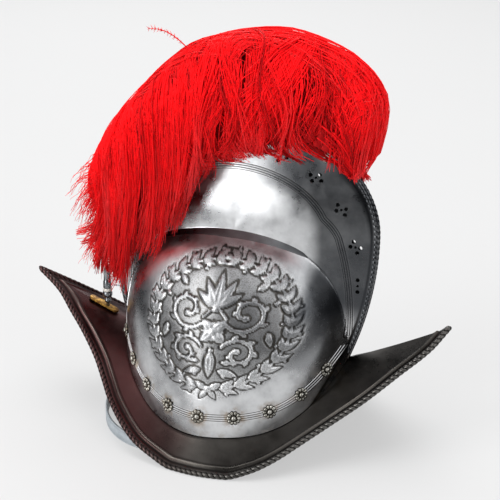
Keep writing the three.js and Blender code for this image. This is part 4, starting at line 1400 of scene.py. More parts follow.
@dataclass
class Brim:
    """The boat shaped brim with its collar, raised ridge and roped edge."""

    stations: int = 300
    plate_rows: int = 16
    collar_high: float = 13.0
    collar_lean: float = 1.2
    collar_room: float = 1.55
    ridge_in: float = 8.2
    ridge_high: float = 1.0
    rope_grow: float = 1.06
    rope_pitch: float = 4.6
    rope_step: float = 0.66
    rope_cut: float = 0.26

    def ring(self, e: float) -> Array:
        """One closed section of the brim on the wearer's right, from collar to edge and back.

        Args:
            e: share along the brim, -1 at the back tip, 1 at the front.

        Returns:
            The section's points.
        """
        c = math.sin(math.pi / 2 * e)
        edge = FORM.brim_edge(e)
        base = np.array([FORM.foot_x + FORM.foot_half * c, -float(FORM.foot_w(c)), float(FORM.foot_z(c))])
        at_tip = abs(e) > 0.9985
        lo, hi = max(c - 0.004, -1.0), min(c + 0.004, 1.0)
        along = np.array([FORM.foot_half * (hi - lo), -float(FORM.foot_w(hi)) + float(FORM.foot_w(lo)), 0.0])
        into = unit(np.array([-along[1], along[0], 0.0]))
        run = edge - base
        length = np.linalg.norm(run)
        te = unit(FORM.brim_edge(min(e + 0.01, 1.0)) - FORM.brim_edge(max(e - 0.01, -1.0)))
        nrm = unit(np.cross(te, run))
        if at_tip:
            into = np.array([-math.copysign(1.0, e), 0.0, 0.0])
            nrm = unit(np.array([-run[2] * math.copysign(1.0, run[0]), 0.0, abs(run[0])]))
        if nrm[2] < 0:
            nrm = -nrm
        sin_a = max(float(np.linalg.norm(np.cross(te, run / length))), 0.35)
        inn = FORM.sheet + FORM.gap + self.collar_room
        last = 1.0 - 1.2 / length
        share = shares(self.plate_rows) ** 0.9 * (1.0 - 13.0 / (length * sin_a))
        edge_mm = np.array([12.0, 11.0, 10.2, 9.5, 8.9, 8.5, 8.2, 7.9, 7.5, 6.9, 6.2, 5.2, 4.0, 3.0])
        share = np.concatenate([share, 1.0 - edge_mm / (length * sin_a), [last]])
        mm = (1.0 - share) * length * sin_a
        lift = -0.9 * np.sin(math.pi * np.clip(share / 0.9, 0.0, 1.0)) ** 0.7
        lift = lift + self.ridge_high * bell(mm - self.ridge_in, 0.95)
        lift = lift - 0.55 * bell(mm - 5.0, 1.5)
        lift[0] -= FORM.gap + 0.35
        top = base + run * share[:, None] + nrm * lift[:, None]
        under = share[::-3]
        low = base + run * under[:, None] + nrm * (-0.9 * np.sin(math.pi * np.clip(under / 0.9, 0, 1)) ** 0.7
                                                   - FORM.sheet - 0.35)[:, None]

        def collar(off: float, z: float) -> Array:
            """A point of the collar.

            Args:
                off: distance in from the foot.
                z: its height.

            Returns:
                The point.
            """
            spot = base + into * off
            spot[2] = z
            return spot

        top_z = base[2] + self.collar_high
        head = [collar(inn + self.collar_lean, top_z), collar(inn + 0.3, base[2] + 4.0),
                collar(inn, base[2] + 0.6), collar(inn * 0.5, base[2] - FORM.gap - 0.25)]
        tail = [collar(inn + FORM.sheet, base[2] - FORM.sheet - 1.0), collar(inn + FORM.sheet, base[2] + 1.0),
                collar(inn + FORM.sheet + self.collar_lean, top_z)]
        return np.vstack([head, top, low[:-1], tail])

    def plate(self) -> Surface:
        """The brim's plate and collar as one closed ring.

        Returns:
            The closed plate.
        """
        s = np.linspace(-1.0, 1.0, self.stations + 1)
        e = np.sign(s) * (1.0 - (1.0 - np.abs(s)) ** 1.25)
        right = np.stack([self.ring(float(v)) for v in e])
        left = right[-2:0:-1] * (1.0, -1.0, 1.0)
        return ring_surface(np.concatenate([right, left]), True)

    def edge_line(self) -> tuple[Array, Array, Array]:
        """The roped edge's middle line with the vectors across and upright on it.

        Returns:
            Points, vectors across and vectors upright.
        """
        e = np.linspace(-1.0, 1.0, 1600)
        half = FORM.brim_edge(e)
        line = resampled(np.vstack([half, half[-2:0:-1] * (1.0, -1.0, 1.0)]), self.rope_step, True)
        ahead = unit(np.roll(line, -1, 0) - np.roll(line, 1, 0))
        up = np.tile([0.0, 0.0, 1.0], (len(line), 1))
        across = unit(np.cross(ahead, up))
        return line, across, unit(np.cross(across, ahead))

    def rope(self) -> Surface:
        """The twisted rope round the edge.

        Returns:
            The closed rope.
        """
        line, across, up = self.edge_line()
        turns = round(len(line) * self.rope_step / self.rope_pitch)
        length = np.arange(len(line)) / len(line) * turns * self.rope_pitch
        radius = FORM.rope_r * self.rope_grow
        section = rope_section(length, radius, self.rope_pitch, self.rope_cut, FORM.rope_sides)
        return sweep(line, across, up, section, True)

    def holes(self) -> Surface:
        """Cutters for the socket's stem and for the two strap rivets.

        Returns:
            All cutters as one mesh.
        """
        tools = [rod(PlumeSocket.stem_r, 70.0, 92.0, 16).shifted((PlumeSocket.place_x, 0.0, 0.0))]
        for side in Side:
            place = np.array([ChinStrap.rivet_x, side.value * ChinStrap.hole_y, ChinStrap.rivet_z])
            tools.append(rod(1.5, -6.0, 6.0, 16).moved(facing((0.0, side.value, 0.0)), place))
        return Surface.joined(tools)

    def build(self, material: Material) -> list[Piece]:
        """The brim.

        Args:
            material: its finish.

        Returns:
            The brim alone.
        """
        obj = self.plate().to_object("brim_plate")
        carve(obj, [("DIFFERENCE", self.holes()), ("UNION", self.rope())])
        p = points_of(obj)
        line, _, _ = self.edge_line()
        near = self.edge_distance(p, line[::6])
        # Painted shade in the groove inside the rope and beside the ridge, and in the rope's cuts.
        groove = bell(near - 5.2, 1.5) + 0.6 * bell(near - 10.2, 0.8)
        cut = smooth((0.955 - near / (FORM.rope_r * self.rope_grow)) / 0.09)
        # Painted highlight on the rope, stronger towards the front.
        rope = smooth(1.0 - (near - 2.6) / 0.8) * (0.2 + 0.8 * smooth((p[:, 0] + 10.0) / 90.0))
        ridge = bell(near - self.ridge_in, 0.9)
        # The last number weights a painted maroon reflection of the plume towards the back of the brim.
        set_numbers(obj, chased=np.clip(0.8 * groove + cut, 0.0, 1.0), rope=rope, ridge=ridge,
                    warm=smooth((10.0 - p[:, 0]) / 90.0))
        return [dress(obj, material, ["brim"], 40.0)]

    def edge_distance(self, points: Array, line: Array) -> Array:
        """Distance of each point to the edge's middle line.

        Args:
            points: the points.
            line: points of the middle line, a loop.

        Returns:
            The distances.
        """
        best = np.full(len(points), 1e9)
        for a, b in zip(line, np.roll(line, -1, 0)):
            ab = b - a
            t = np.clip(((points - a) @ ab) / (ab @ ab), 0.0, 1.0)
            best = np.minimum(best, np.linalg.norm(points - a - t[:, None] * ab, axis=1))
        return best


@dataclass
class RosetteBand:
    """The flower washers with a domed rivet along the foot of the bowl."""

    radius: float = 6.1
    petals: int = 10
    segments: int = 80

    def flower(self) -> Surface:
        """One rosette that faces +Z, with its shank.

        Returns:
            The rosette at the origin.
        """
        turn = np.linspace(0.0, 2.0 * math.pi, self.segments, endpoint=False)
        wave = np.abs(np.cos(turn * self.petals / 2.0)) ** 0.6
        rim = self.radius * (0.82 + 0.18 * wave)
        domed = np.linspace(0.35, 2.25, 7)
        rings = [(r, 1.2 + 2.2 * math.sqrt(max(1.0 - (r / 2.4) ** 2, 0.0))) for r in domed]
        rings += [(2.45, 0.85), (2.8, 0.8)]
        for t in shares(9):
            swell = math.sin(math.pi * min(t * 0.85 + 0.12, 1.0)) ** 0.6
            high = 0.75 + 1.25 * swell * (0.12 + 0.88 * wave)
            rings.append((2.95 + (rim - 2.95) * t, high * (1.0 if t < 1.0 else 0.7)))
        rings += [(rim * 0.985, FORM.gap + 0.05), (1.15, FORM.gap), (1.15, -2.2)]
        stack = [np.stack(np.broadcast_arrays(r * np.cos(turn), r * np.sin(turn), h), -1) for r, h in rings]
        return ring_surface(np.stack(stack))

    def build(self, material: Material) -> list[Piece]:
        """All rosettes, one piece for each node.

        Args:
            material: its finish.

        Returns:
            The rosettes, right and left in turn.
        """
        made = []
        flower = self.flower()
        for i, (place, normal) in enumerate(FORM.rosette_places()):
            right = flower.moved(facing(normal), place)
            for side, number in ((Side.RIGHT, i + 1), (Side.LEFT, i + 1 + FORM.rosettes)):
                body = right if side is Side.RIGHT else right.mirrored()
                obj = body.to_object(f"rosette_flower_{number:02d}")
                off = points_of(obj) * (1.0, -side.value, 1.0) - place
                r, h = np.linalg.norm(np.cross(off, normal), axis=1), off @ normal
                # Painted shade in the crease round the rivet's dome and on the low parts between the petals.
                dark = bell(r - 2.65, 0.45) + smooth((1.35 - h) / 0.7) * (r > 3.0)
                stain = 0.5 if place[0] < 20.0 else 0.15
                set_numbers(obj, chased=np.clip(dark, 0.0, 1.0), stain=stain, shade=0.0)
                made.append(dress(obj, material, [f"rosette_{number:02d}"], 60.0))
        return made


@dataclass
class Plume:
    """The ostrich plume: barbs in locks on a dense heart, astride the comb."""

    seed: int = 11
    locks: int = 170
    barbs: int = 21
    knots: int = 9
    crest_knots: int = 16
    crest_barbs: int = 420
    wisps: int = 420
    barb_r: float = 0.58
    clear: float = 2.9
    quill_r: float = 1.3
    back_u: float = 0.155
    front_u: float = 0.70
    short_near: float = 0.24
    short_far: float = 0.05
    drift: float = 0.024
    spread: float = 0.0052
    fray: float = 0.0075
    gather: float = 0.6
    bow: float = 0.022

    def table(self) -> Array:
        """Rows of (u, high, wide, drop, ahead, lean) along the comb, lengths in millimetres.

        Returns:
            The rows, from the back to the front.
        """
        return np.array([
            (0.155, 17, 13, 36, 0, -7), (0.20, 23, 22, 52, -1, -4), (0.26, 25, 31, 86, -1, -1),
            (0.35, 34, 38, 84, -2, 0), (0.41, 49, 42, 76, -1, 0), (0.46, 63, 44, 42, 0, 0),
            (0.55, 76, 44, 20, 2, 0), (0.61, 76, 40, 16, 2, 2), (0.66, 64, 30, 7, 4, 4),
            (0.70, 26, 13, 5, 4, 6)], float)

    def outline(self, u: Array) -> Array:
        """Six places on the plume's outer form from the crest down to the hem, for each u.

        Args:
            u: place along the comb, 0 at the back foot, 1 at the front foot.

        Returns:
            The places, as six by the shape of u by 3.
        """
        table = self.table()
        u = np.clip(u, self.back_u, self.front_u)
        high, wide, drop, ahead, lean = (lookup(table, u, k) for k in range(1, 6))
        point, out, tan = FORM.comb_frame(u)

        def crown(rise: Array, y: Array, share: float) -> Array:
            """A place above the comb.

            Args:
                rise: distance out from the comb's edge.
                y: distance from the middle plane.
                share: share of the plume's way ahead.

            Returns:
                The place.
            """
            spot = point + out * rise[..., None] + tan * (ahead * share)[..., None]
            spot[..., 1] = y
            return spot

        def hang(share: float, y: Array) -> Array:
            """A place beside the helmet.

            Args:
                share: share of the way down.
                y: wanted distance from the middle plane.

            Returns:
                The place, clear of the helmet's skin.
            """
            x, z = point[..., 0] + lean * share, point[..., 2] - drop * share
            clear = FORM.half_width(x, z) + self.clear
            return np.stack([x, np.maximum(y, clear), z], -1)

        zero = np.zeros_like(wide)
        return np.stack([crown(high, zero, 1.0), crown(high * 0.84, wide * 0.55, 0.9),
                         crown(high * 0.34, wide * 0.98, 0.6), hang(0.4, wide), hang(0.85, wide * 0.86),
                         hang(1.12, wide * 0.66)])

    def on_outline(self, u: Array, t: Array, share: Array) -> Array:
        """Places in the plume.

        Args:
            u: place along the comb.
            t: place down the section, 0 at the crest and 1 at the hem.
            share: 1 on the outer form, less inside it.

        Returns:
            Points of the left side, Y above zero.
        """
        knots = self.outline(u)
        last = len(knots) - 1
        s = np.clip(t, 0.0, 1.0) * last
        i = np.clip(s.astype(int), 0, last - 1)
        f = (s - i)[..., None]
        rows = np.arange(u.size)
        flat = knots.reshape(last + 1, -1, 3)

        def knot(k: Array) -> Array:
            """One of the six places, for each u."""
            return flat[np.clip(k, 0, last).ravel(), rows].reshape(u.shape + (3,))

        a, b, c, d = knot(i - 1), knot(i), knot(i + 1), knot(i + 2)
        bend, twist = 2 * a - 5 * b + 4 * c - d, 3 * b - a - 3 * c + d
        p = 0.5 * (2 * b + (c - a) * f + bend * f ** 2 + twist * f ** 3)
        point, _, _ = FORM.comb_frame(np.clip(u, self.back_u, self.front_u))
        p = point + (p - point) * share[..., None]
        p[..., 2] -= np.maximum(t - 1.0, 0.0) * 70.0
        inside = FORM.comb_depth(p[..., 0], p[..., 2]) > -3.0
        floor = np.where(inside, FORM.half_width(p[..., 0], p[..., 2]) + 1.2, 0.0)
        p[..., 1] = np.maximum(p[..., 1], floor)
        return p

    def strands(self, paths: Array, radius: Array) -> Surface:
        """Thin three sided barbs along paths.

        Args:
            paths: points, as barbs by knots by 3.
            radius: radius of each barb at its root.

        Returns:
            One mesh of closed barbs.
        """
        count, knots = paths.shape[:2]
        tangent = unit(np.gradient(paths, axis=1))
        helper = np.array([0.83, 0.0, 0.55])
        first = unit(np.cross(tangent, helper))
        second = np.cross(tangent, first)
        taper = 1.0 - 0.62 * shares(knots) ** 1.6
        r = radius[:, None, None] * taper[None, :, None]
        rings = np.stack([paths + r * (first * math.cos(a) + second * math.sin(a))
                          for a in (0.0, 2.0 * math.pi / 3.0, 4.0 * math.pi / 3.0)], 2)
        points = rings.reshape(-1, 3)
        start = (np.arange(count) * knots * 3)[:, None, None]
        k = (np.arange(knots - 1) * 3)[None, :, None]
        j = np.arange(3)[None, None, :]
        here, beside = start + k + j, start + k + (j + 1) % 3
        quads = np.stack([here, beside, beside + 3, here + 3], -1).reshape(-1, 4)
        base = np.arange(count) * knots * 3
        end = base + (knots - 1) * 3
        caps = np.vstack([np.stack([base, base + 2, base + 1], -1), np.stack([end, end + 1, end + 2], -1)])
        return Surface(points, quads, caps).outward()

    def lock_paths(self, rng: np.random.Generator, short: float) -> tuple[Array, Array, Array]:
        """Paths of one side's barbs, which gather in pointed locks.

        Args:
            rng: source of the chance in their shape.
            short: how much shorter the front locks are, as a share of their way down.

        Returns:
            The paths on the left side, a colour value for each barb, darker as painted shade where it lies
            deep in the plume, and its radius.
        """
        n = self.locks
        total = n * self.barbs
        place = 0.172 + 0.495 * (np.arange(n) + rng.random(n)) / n
        layer = rng.permutation(shares(n))
        root = 0.46 * layer ** 1.2
        hem = 0.98 - 0.30 * (1.0 - layer) * rng.random(n) + 0.05 * rng.normal(0.0, 1.0, n)
        hem = np.minimum(hem, 0.86 + 0.20 * smooth((place - 0.19) / 0.06))
        hem = hem - 0.22 * smooth((place - 0.46) / 0.06) * (1.0 - smooth((place - 0.63) / 0.03))
        hem = hem - short * smooth((place - 0.56) / 0.04)
        depth = 0.985 - 0.12 * layer * rng.random(n)
        drift = rng.normal(0.0, self.drift, n)
        flick = np.abs(rng.normal(0.0, 0.06, n))
        sway = rng.normal(0.0, 0.010, n)
        curl = rng.normal(0.0, 3.4, (n, 3))
        mood = rng.random(n)

        def each(v: Array) -> Array:
            """A lock's value for each of its barbs."""
            return np.repeat(v, self.barbs, axis=0)

        tau = shares(self.knots)[None, :]
        _, _, tan = FORM.comb_frame(each(place))
        fall = -0.135 * tan[:, 2]
        spread = rng.normal(0.0, self.spread, total)[:, None]
        fray = rng.normal(0.0, self.fray, total)[:, None]
        gather = 1.0 - self.gather * smooth(tau * 1.05)
        u = each(place)[:, None] + spread * gather + fray * tau ** 4
        u = u + (fall + each(drift))[:, None] * tau ** 1.3
        u = u + each(sway)[:, None] * np.sin(2.0 * math.pi * tau)
        t0 = np.clip(each(root) + rng.normal(0.0, 0.05, total), 0.0, 0.6)
        t1 = each(hem) + rng.normal(0.0, 0.055, total) - 0.9 * np.abs(spread[:, 0])
        t = t0[:, None] + (t1 - t0)[:, None] * tau
        bow = rng.normal(0.0, self.bow, total)[:, None] * np.sin(math.pi * tau)
        share = each(depth)[:, None] + bow + (each(flick) + 0.01)[:, None] * tau ** 3
        paths = self.on_outline(u, t, share)
        narrow = 1.1 * short * smooth((each(place) - 0.54) / 0.06)
        paths[..., 1] *= 1.0 - narrow[:, None] * tau
        back = 1.0 + 1.6 * smooth((0.33 - each(place)) / 0.12)
        paths = paths + (each(curl) * back[:, None])[:, None, :] * (tau ** 3)[..., None]
        paths = paths + rng.normal(0.0, 0.8, (total, 3))[:, None, :] * (tau ** 2)[..., None]
        # Barbs that lie deeper in the plume get a darker value: painted shade.
        tone = np.clip(0.36 + 0.62 * (each(mood) - 0.35) + 2.2 * (each(depth) - 0.94)
                       + rng.normal(0.0, 0.13, total), 0.0, 1.0)
        return paths, tone, self.barb_r * (0.65 + 0.7 * rng.random(total))

    def crest_paths(self, rng: np.random.Generator) -> tuple[Array, Array, Array]:
        """Long barbs along the crest that fall over its front, and the wisps at the back.

        Args:
            rng: source of the chance in their shape.

        Returns:
            Paths, tones and radii.
        """
        n = self.crest_barbs
        tau = shares(self.crest_knots)[None, :]
        start = 0.22 + 0.40 * rng.random(n)[:, None]
        u = start + (0.08 + 0.13 * rng.random(n)[:, None]) * tau
        side = np.where(rng.random(n) < 0.5, -1.0, 1.0)
        t = 0.15 * rng.random(n)[:, None] ** 1.3 + 0.12 * tau ** 2
        loose = (rng.random(n) < 0.16)[:, None]
        share = 0.93 + 0.06 * rng.random(n)[:, None] + np.where(loose, 0.05, 0.0) * np.sin(math.pi * tau)
        paths = self.on_outline(u, t, share)
        paths[..., 1] *= side[:, None]
        paths = np.concatenate([paths, self.wisp_paths(rng)])
        total = len(paths)
        radius = self.barb_r * (0.6 + 0.5 * rng.random(total))
        radius[n:] *= 0.72
        return paths, 0.42 + 0.45 * rng.random(total), radius

    def wisp_paths(self, rng: np.random.Generator) -> Array:
        """Frizzy barbs that stand off the back of the plume.

        Args:
            rng: source of the chance in their shape.

        Returns:
            Paths of the barbs.
        """
        n = self.wisps
        tau = shares(self.crest_knots)[None, :]
        u0 = 0.157 + 0.10 * rng.random(n)[:, None] ** 1.4
        t0 = 0.12 + 0.72 * rng.random(n)[:, None] ** 0.8
        root = self.on_outline(u0, t0, np.full((n, 1), 0.93))
        root[..., 1] *= np.where(rng.random(n) < 0.62, -1.0, 1.0)[:, None]
        out = np.stack([-0.75 - 0.5 * rng.random(n), rng.normal(0.0, 0.35, n), rng.normal(-0.15, 0.5, n)], -1)
        reach = (7.0 + 15.0 * rng.random(n))[:, None, None]
        droop = np.stack([np.zeros(n), np.zeros(n), -0.9 - 0.5 * rng.random(n)], -1)
        bend = tau[..., None]
        paths = root + reach * (unit(out)[:, None] * bend + droop[:, None] * bend ** 2 * 0.75)
        phase = rng.random((n, 3))[:, None, :] * 6.3
        wave = np.sin(phase + tau[..., None] * (7.0 + 6.0 * rng.random((n, 1, 3)))) - np.sin(phase)
        return paths + wave * tau[..., None] ** 0.7 * 1.15

    def lone_barb(self) -> tuple[Array, Array]:
        """The one barb that stands up at the back, with its fluff.

        Returns:
            Its paths, stem first, and their radii.
        """
        root, tip = np.array([-30.0, -6.0, 313.0]), np.array([-71.0, -8.0, 331.0])
        rise = np.array([0.0, 0.0, 9.0])
        tau = shares(self.crest_knots)[:, None]
        stem = root + (tip - root) * tau + rise * np.sin(math.pi * tau * 0.85)
        fluff = []
        for i in range(60):
            k = 5 + (i * 11) // 60
            a = i * 2.4
            reach = 3.2 * (0.7 + 0.3 * math.sin(i * 1.7))
            away = np.array([-0.5, math.cos(a), math.sin(a)]) * reach
            fluff.append(stem[k] + away * tau)
        return np.stack([stem] + fluff), np.array([0.7] + [0.3] * len(fluff))

    def heart(self) -> Surface:
        """The dense body of barbs below the loose ones.

        Returns:
            The closed body.
        """
        u = np.linspace(0.162, 0.692, 120)
        t = shares(22)
        grid_u = np.broadcast_to(u[:, None], (len(u), len(t)))
        ripple = 0.80 + 0.035 * np.sin(grid_u * 330.0 + 2.0 * np.sin(grid_u * 90.0))
        ripple = ripple + 0.10 * smooth(1.0 - t[None, :] / 0.3)
        ends = 0.86 - 0.36 * smooth((grid_u - 0.52) / 0.08)
        shell = self.on_outline(grid_u, t[None, :] * ends, ripple)
        point, out, _ = FORM.comb_frame(u)
        over = point + out * (self.clear + 1.0)
        edge = point + out * self.clear
        edge[:, 1] = FORM.comb_edge + self.clear - 0.8
        foot = shell[:, -1].copy()
        foot[:, 1] = FORM.half_width(foot[:, 0], foot[:, 2]) + 1.0
        middle = (edge + foot) / 2.0
        middle[:, 1] = FORM.half_width(middle[:, 0], middle[:, 2]) + 1.3
        half = np.concatenate([np.stack([over, edge, middle, foot], 1), shell[:, ::-1]], 1)
        half[:, -1, 1] = 0.0
        right = half * (1.0, -1.0, 1.0)
        left = half[:, -2:0:-1]
        return ring_surface(np.concatenate([right, left], 1))

    def quill(self) -> Surface:
        """The quill that goes down into the socket.

        Returns:
            The quill as a closed bar.
        """
        x = PlumeSocket.place_x
        knots = np.array([(x, 0.0, 109.0), (x, 0.0, 124.0), (x - 0.6, 0.0, 150.0), (x + 1.0, 0.0, 186.0)])
        line = resampled(knots, 3.0)
        across = np.tile([1.0, 0.0, 0.0], (len(line), 1))
        aside = np.tile([0.0, 1.0, 0.0], (len(line), 1))
        return sweep(line, across, aside, self.quill_r * circle(12))

    def barb_object(self, name: str, paths: Array, tone: Array, radius: Array,
                    material: Material) -> Piece:
        """A piece of many barbs with its tone and its place along each barb.

        Args:
            name: name of the piece.
            paths: points of the barbs.
            tone: colour value of each barb, with painted shade for barbs deep in the plume.
            radius: radius of each barb.
            material: its finish.

        Returns:
            The piece.
        """
        obj = self.strands(paths, radius).to_object(name)
        knots = paths.shape[1]
        along = np.tile(np.repeat(shares(knots), 3), len(paths))
        set_numbers(obj, tone=np.repeat(tone, knots * 3), along=along)
        return dress(obj, material, ["plume"], None)

    def build(self, barbs: Material, heart: Material) -> list[Piece]:
        """The plume's pieces.

        Args:
            barbs: finish of the loose barbs.
            heart: finish of the dense body and the quill.

        Returns:
            Locks, crest, heart and quill.
        """
        rng = np.random.default_rng(self.seed)
        made = []
        for side in Side:
            short = self.short_near if side is Side.RIGHT else self.short_far
            paths, tone, radius = self.lock_paths(rng, short)
            paths[..., 1] *= side.value
            made.append(self.barb_object(f"plume_locks_{side.name.lower()}", paths, tone, radius, barbs))
        paths, tone, radius = self.crest_paths(rng)
        lone, lone_r = self.lone_barb()
        made.append(self.barb_object("plume_crest", np.concatenate([paths, lone]),
                                     np.concatenate([tone, np.full(len(lone), 0.3)]),
                                     np.concatenate([radius, lone_r]), barbs))
        # The heart gets a low, dark colour value and a darker red finish: painted shade for the depth of the
        # plume.
        core = self.heart().to_object("plume_heart")
        set_numbers(core, tone=0.16, along=0.2)
        made.append(dress(core, heart, ["plume"], 60.0))
        quill = self.quill().to_object("plume_quill")
        set_numbers(quill, tone=0.4, along=0.1)
        made.append(dress(quill, heart, ["plume"], 60.0))
        return made


@dataclass
class PlumeSocket:
    """The turned socket of the plume with its ring, plate and stay."""

    place_x: float = -119.6
    stem_r: float = 1.85
    stay_x: float = -115.55
    stay_z: float = 103.6
    stay_r: float = 0.7
    stay_long: float = 9.3
    plate_x: float = -123.0
    plate_long: float = 29.0
    plate_wide: float = 7.4
    plate_thick: float = 1.8
    sides: int = 48

    def crest_slope(self) -> float:
        """Slope of the brim's crest at the back."""
        return math.atan2(FORM.tip_z + FORM.rope_r - FORM.foot_low - FORM.foot_rise_back,
                          FORM.tip - FORM.foot_half + FORM.foot_x)

    def crest_z(self, x: float) -> float:
        """Height of the crest of the brim at the back."""
        return float(FORM.foot_z(-1.0)) + (FORM.foot_x - FORM.foot_half - x) * math.tan(self.crest_slope())

    def tube(self) -> Surface:
        """Foot, ball, cup and tube.

        Returns:
            The turned piece at its own height, round the Z axis.
        """
        profile = [(0.0, 79.5), (1.5, 79.5), (1.5, 85.9), (2.3, 86.5), (2.8, 87.4), (2.95, 88.4), (2.7, 89.5),
                   (2.1, 90.5), (2.0, 91.1), (3.2, 91.6), (4.2, 92.7), (4.35, 94.2), (4.3, 95.6), (3.7, 96.8),
                   (2.4, 96.8), (2.4, 100.2), (3.6, 100.2), (3.6, 106.2), (3.1, 106.9), (2.95, 110.0),
                   (2.6, 121.0), (1.75, 121.0), (1.75, 108.5), (0.0, 108.5)]
        return lathe(profile, 40, 0.25)

    def ring(self) -> Surface:
        """The white ring, a flat hoop with round edges.

        Returns:
            The ring at its own height, round the Z axis.
        """
        corner = np.array([(2.75, 97.4), (2.95, 97.15), (3.7, 97.15), (4.0, 97.5), (4.05, 98.5), (4.0, 99.5),
                           (3.7, 99.85), (2.95, 99.85), (2.75, 99.6)])
        high = np.broadcast_to(corner[:, 1:], (self.sides, len(corner), 1))
        return ring_surface(np.concatenate([circle(self.sides)[:, None] * corner[:, :1], high], -1), True)

    def plate(self) -> Surface:
        """The brass plate with round ends and soft edges, on the crest.

        Returns:
            The plate in its place.
        """
        across, beside = circle(self.sides).T
        reach = self.plate_long / 2.0 - self.plate_wide / 2.0
        x = np.sign(across) * reach * (np.abs(across) > 0.02) + self.plate_wide / 2.0 * across
        y = self.plate_wide / 2.0 * beside
        h = self.plate_thick / 2.0
        rings = []
        for grow, z in ((0.86, -h), (1.0, -h + 0.35), (1.0, h - 0.45), (0.93, h - 0.1), (0.84, h)):
            wide = 1.0 - (1.0 - grow) * 0.9
            rings.append(np.stack([x * (1.0 - (1.0 - grow) * 0.25), y * wide, np.full_like(x, z)], -1))
        made = ring_surface(np.stack(rings))
        a = self.crest_slope()
        tilt = np.array([[math.cos(a), 0.0, math.sin(a)], [0.0, 1.0, 0.0], [-math.sin(a), 0.0, math.cos(a)]])
        place = np.array([self.plate_x, 0.0, self.crest_z(self.plate_x) + FORM.gap + h / math.cos(a)])
        return made.moved(tilt, place)

    def stay(self) -> Surface:
        """The thin rod from the comb to the tube."""
        place = np.array([self.stay_x, 0.0, self.stay_z])
        return rod(self.stay_r, 0.0, self.stay_long, 16, 0.15).moved(facing((1.0, 0.0, 0.0)), place)

    def build(self, steel: Material, white: Material, brass: Material) -> list[Piece]:
        """The socket's four pieces.

        Args:
            steel: finish of tube and stay.
            white: finish of the ring.
            brass: finish of the plate.

        Returns:
            Tube, ring, plate and stay.
        """
        shift = np.array([self.place_x, 0.0, 0.0])
        tube = self.tube().shifted(shift)
        ring = self.ring().shifted(shift)
        plate = self.plate().to_object("socket_foot_plate")
        carve(plate, [("DIFFERENCE", rod(self.stem_r, 70.0, 100.0, 20).shifted(shift))])
        return [dress(tube.to_object("socket_tube"), steel, ["plume_socket"], 32.0),
                dress(ring.to_object("socket_white_ring"), white, ["socket_ring"], 50.0),
                dress(plate, brass, ["socket_plate"], 32.0),
                dress(self.stay().to_object("socket_stay_rod"), steel, ["socket_stay"], 32.0)]


@dataclass
class PlumeClip:
    """The small strip that pins the plume to the edge of the comb."""

    place_u: float = 0.655
    wide: float = 5.0
    thick: float = 0.9

    def build(self, material: Material) -> list[Piece]:
        """The clip, a strip bent over the edge with two little knobs.

        Args:
            material: its finish.

        Returns:
            The clip alone.
        """
        point, out, tan = (v[0] for v in FORM.comb_frame(np.array([self.place_u])))

        def side(r: float) -> float:
            """Distance of the clip from the middle plane, r out from the comb's edge."""
            return float(FORM.half_width(point[0] + out[0] * r, point[2] + out[2] * r)) + FORM.gap + 0.15

        knots = [(-10.0, side(-10.0)), (-7.5, side(-7.5)), (-5.0, side(-5.0)), (-2.5, side(-2.5)),
                 (-0.6, FORM.comb_edge + 0.7), (0.7, FORM.comb_edge - 0.7),
                 (1.3, FORM.comb_edge - 2.2), (1.45, 0.0)]
        path = np.array([(r, -y) for r, y in knots] + [(r, y) for r, y in knots[-2::-1]])
        ahead = heading(path)
        normal = np.stack([ahead[:, 1], -ahead[:, 0]], -1)
        if normal[0, 1] > 0:
            normal = -normal
        line = point + path[:, :1] * out + path[:, 1:] * np.array([0.0, 1.0, 0.0])
        up = normal[:, :1] * out + normal[:, 1:] * np.array([0.0, 1.0, 0.0])
        w, t, b = self.wide / 2.0, self.thick, 0.22
        section = np.array([(-w, b), (-w + b, 0.0), (w - b, 0.0), (w, b),
                            (w, t - b), (w - b, t), (-w + b, t), (-w, t - b)])
        strip = sweep(line, np.tile(tan, (len(line), 1)), up, section)
        obj = strip.to_object("plume_clip_strip")
        knob = lathe([(0.0, 0.0), (1.6, 0.0), (1.7, 0.6), (1.2, 1.5), (0.6, 1.9), (0.0, 2.0)], 20, 0.1)
        for y, at in ((-1.0, line[1]), (1.0, line[-2])):
            place = at + np.array([0.0, y * 0.5, 0.0])
            carve(obj, [("UNION", knob.moved(facing((0.0, y, 0.0)), place))])
        set_numbers(obj, chased=0.0, stain=0.0, shade=0.0)
        return [dress(obj, material, ["plume_clip"], 40.0)]


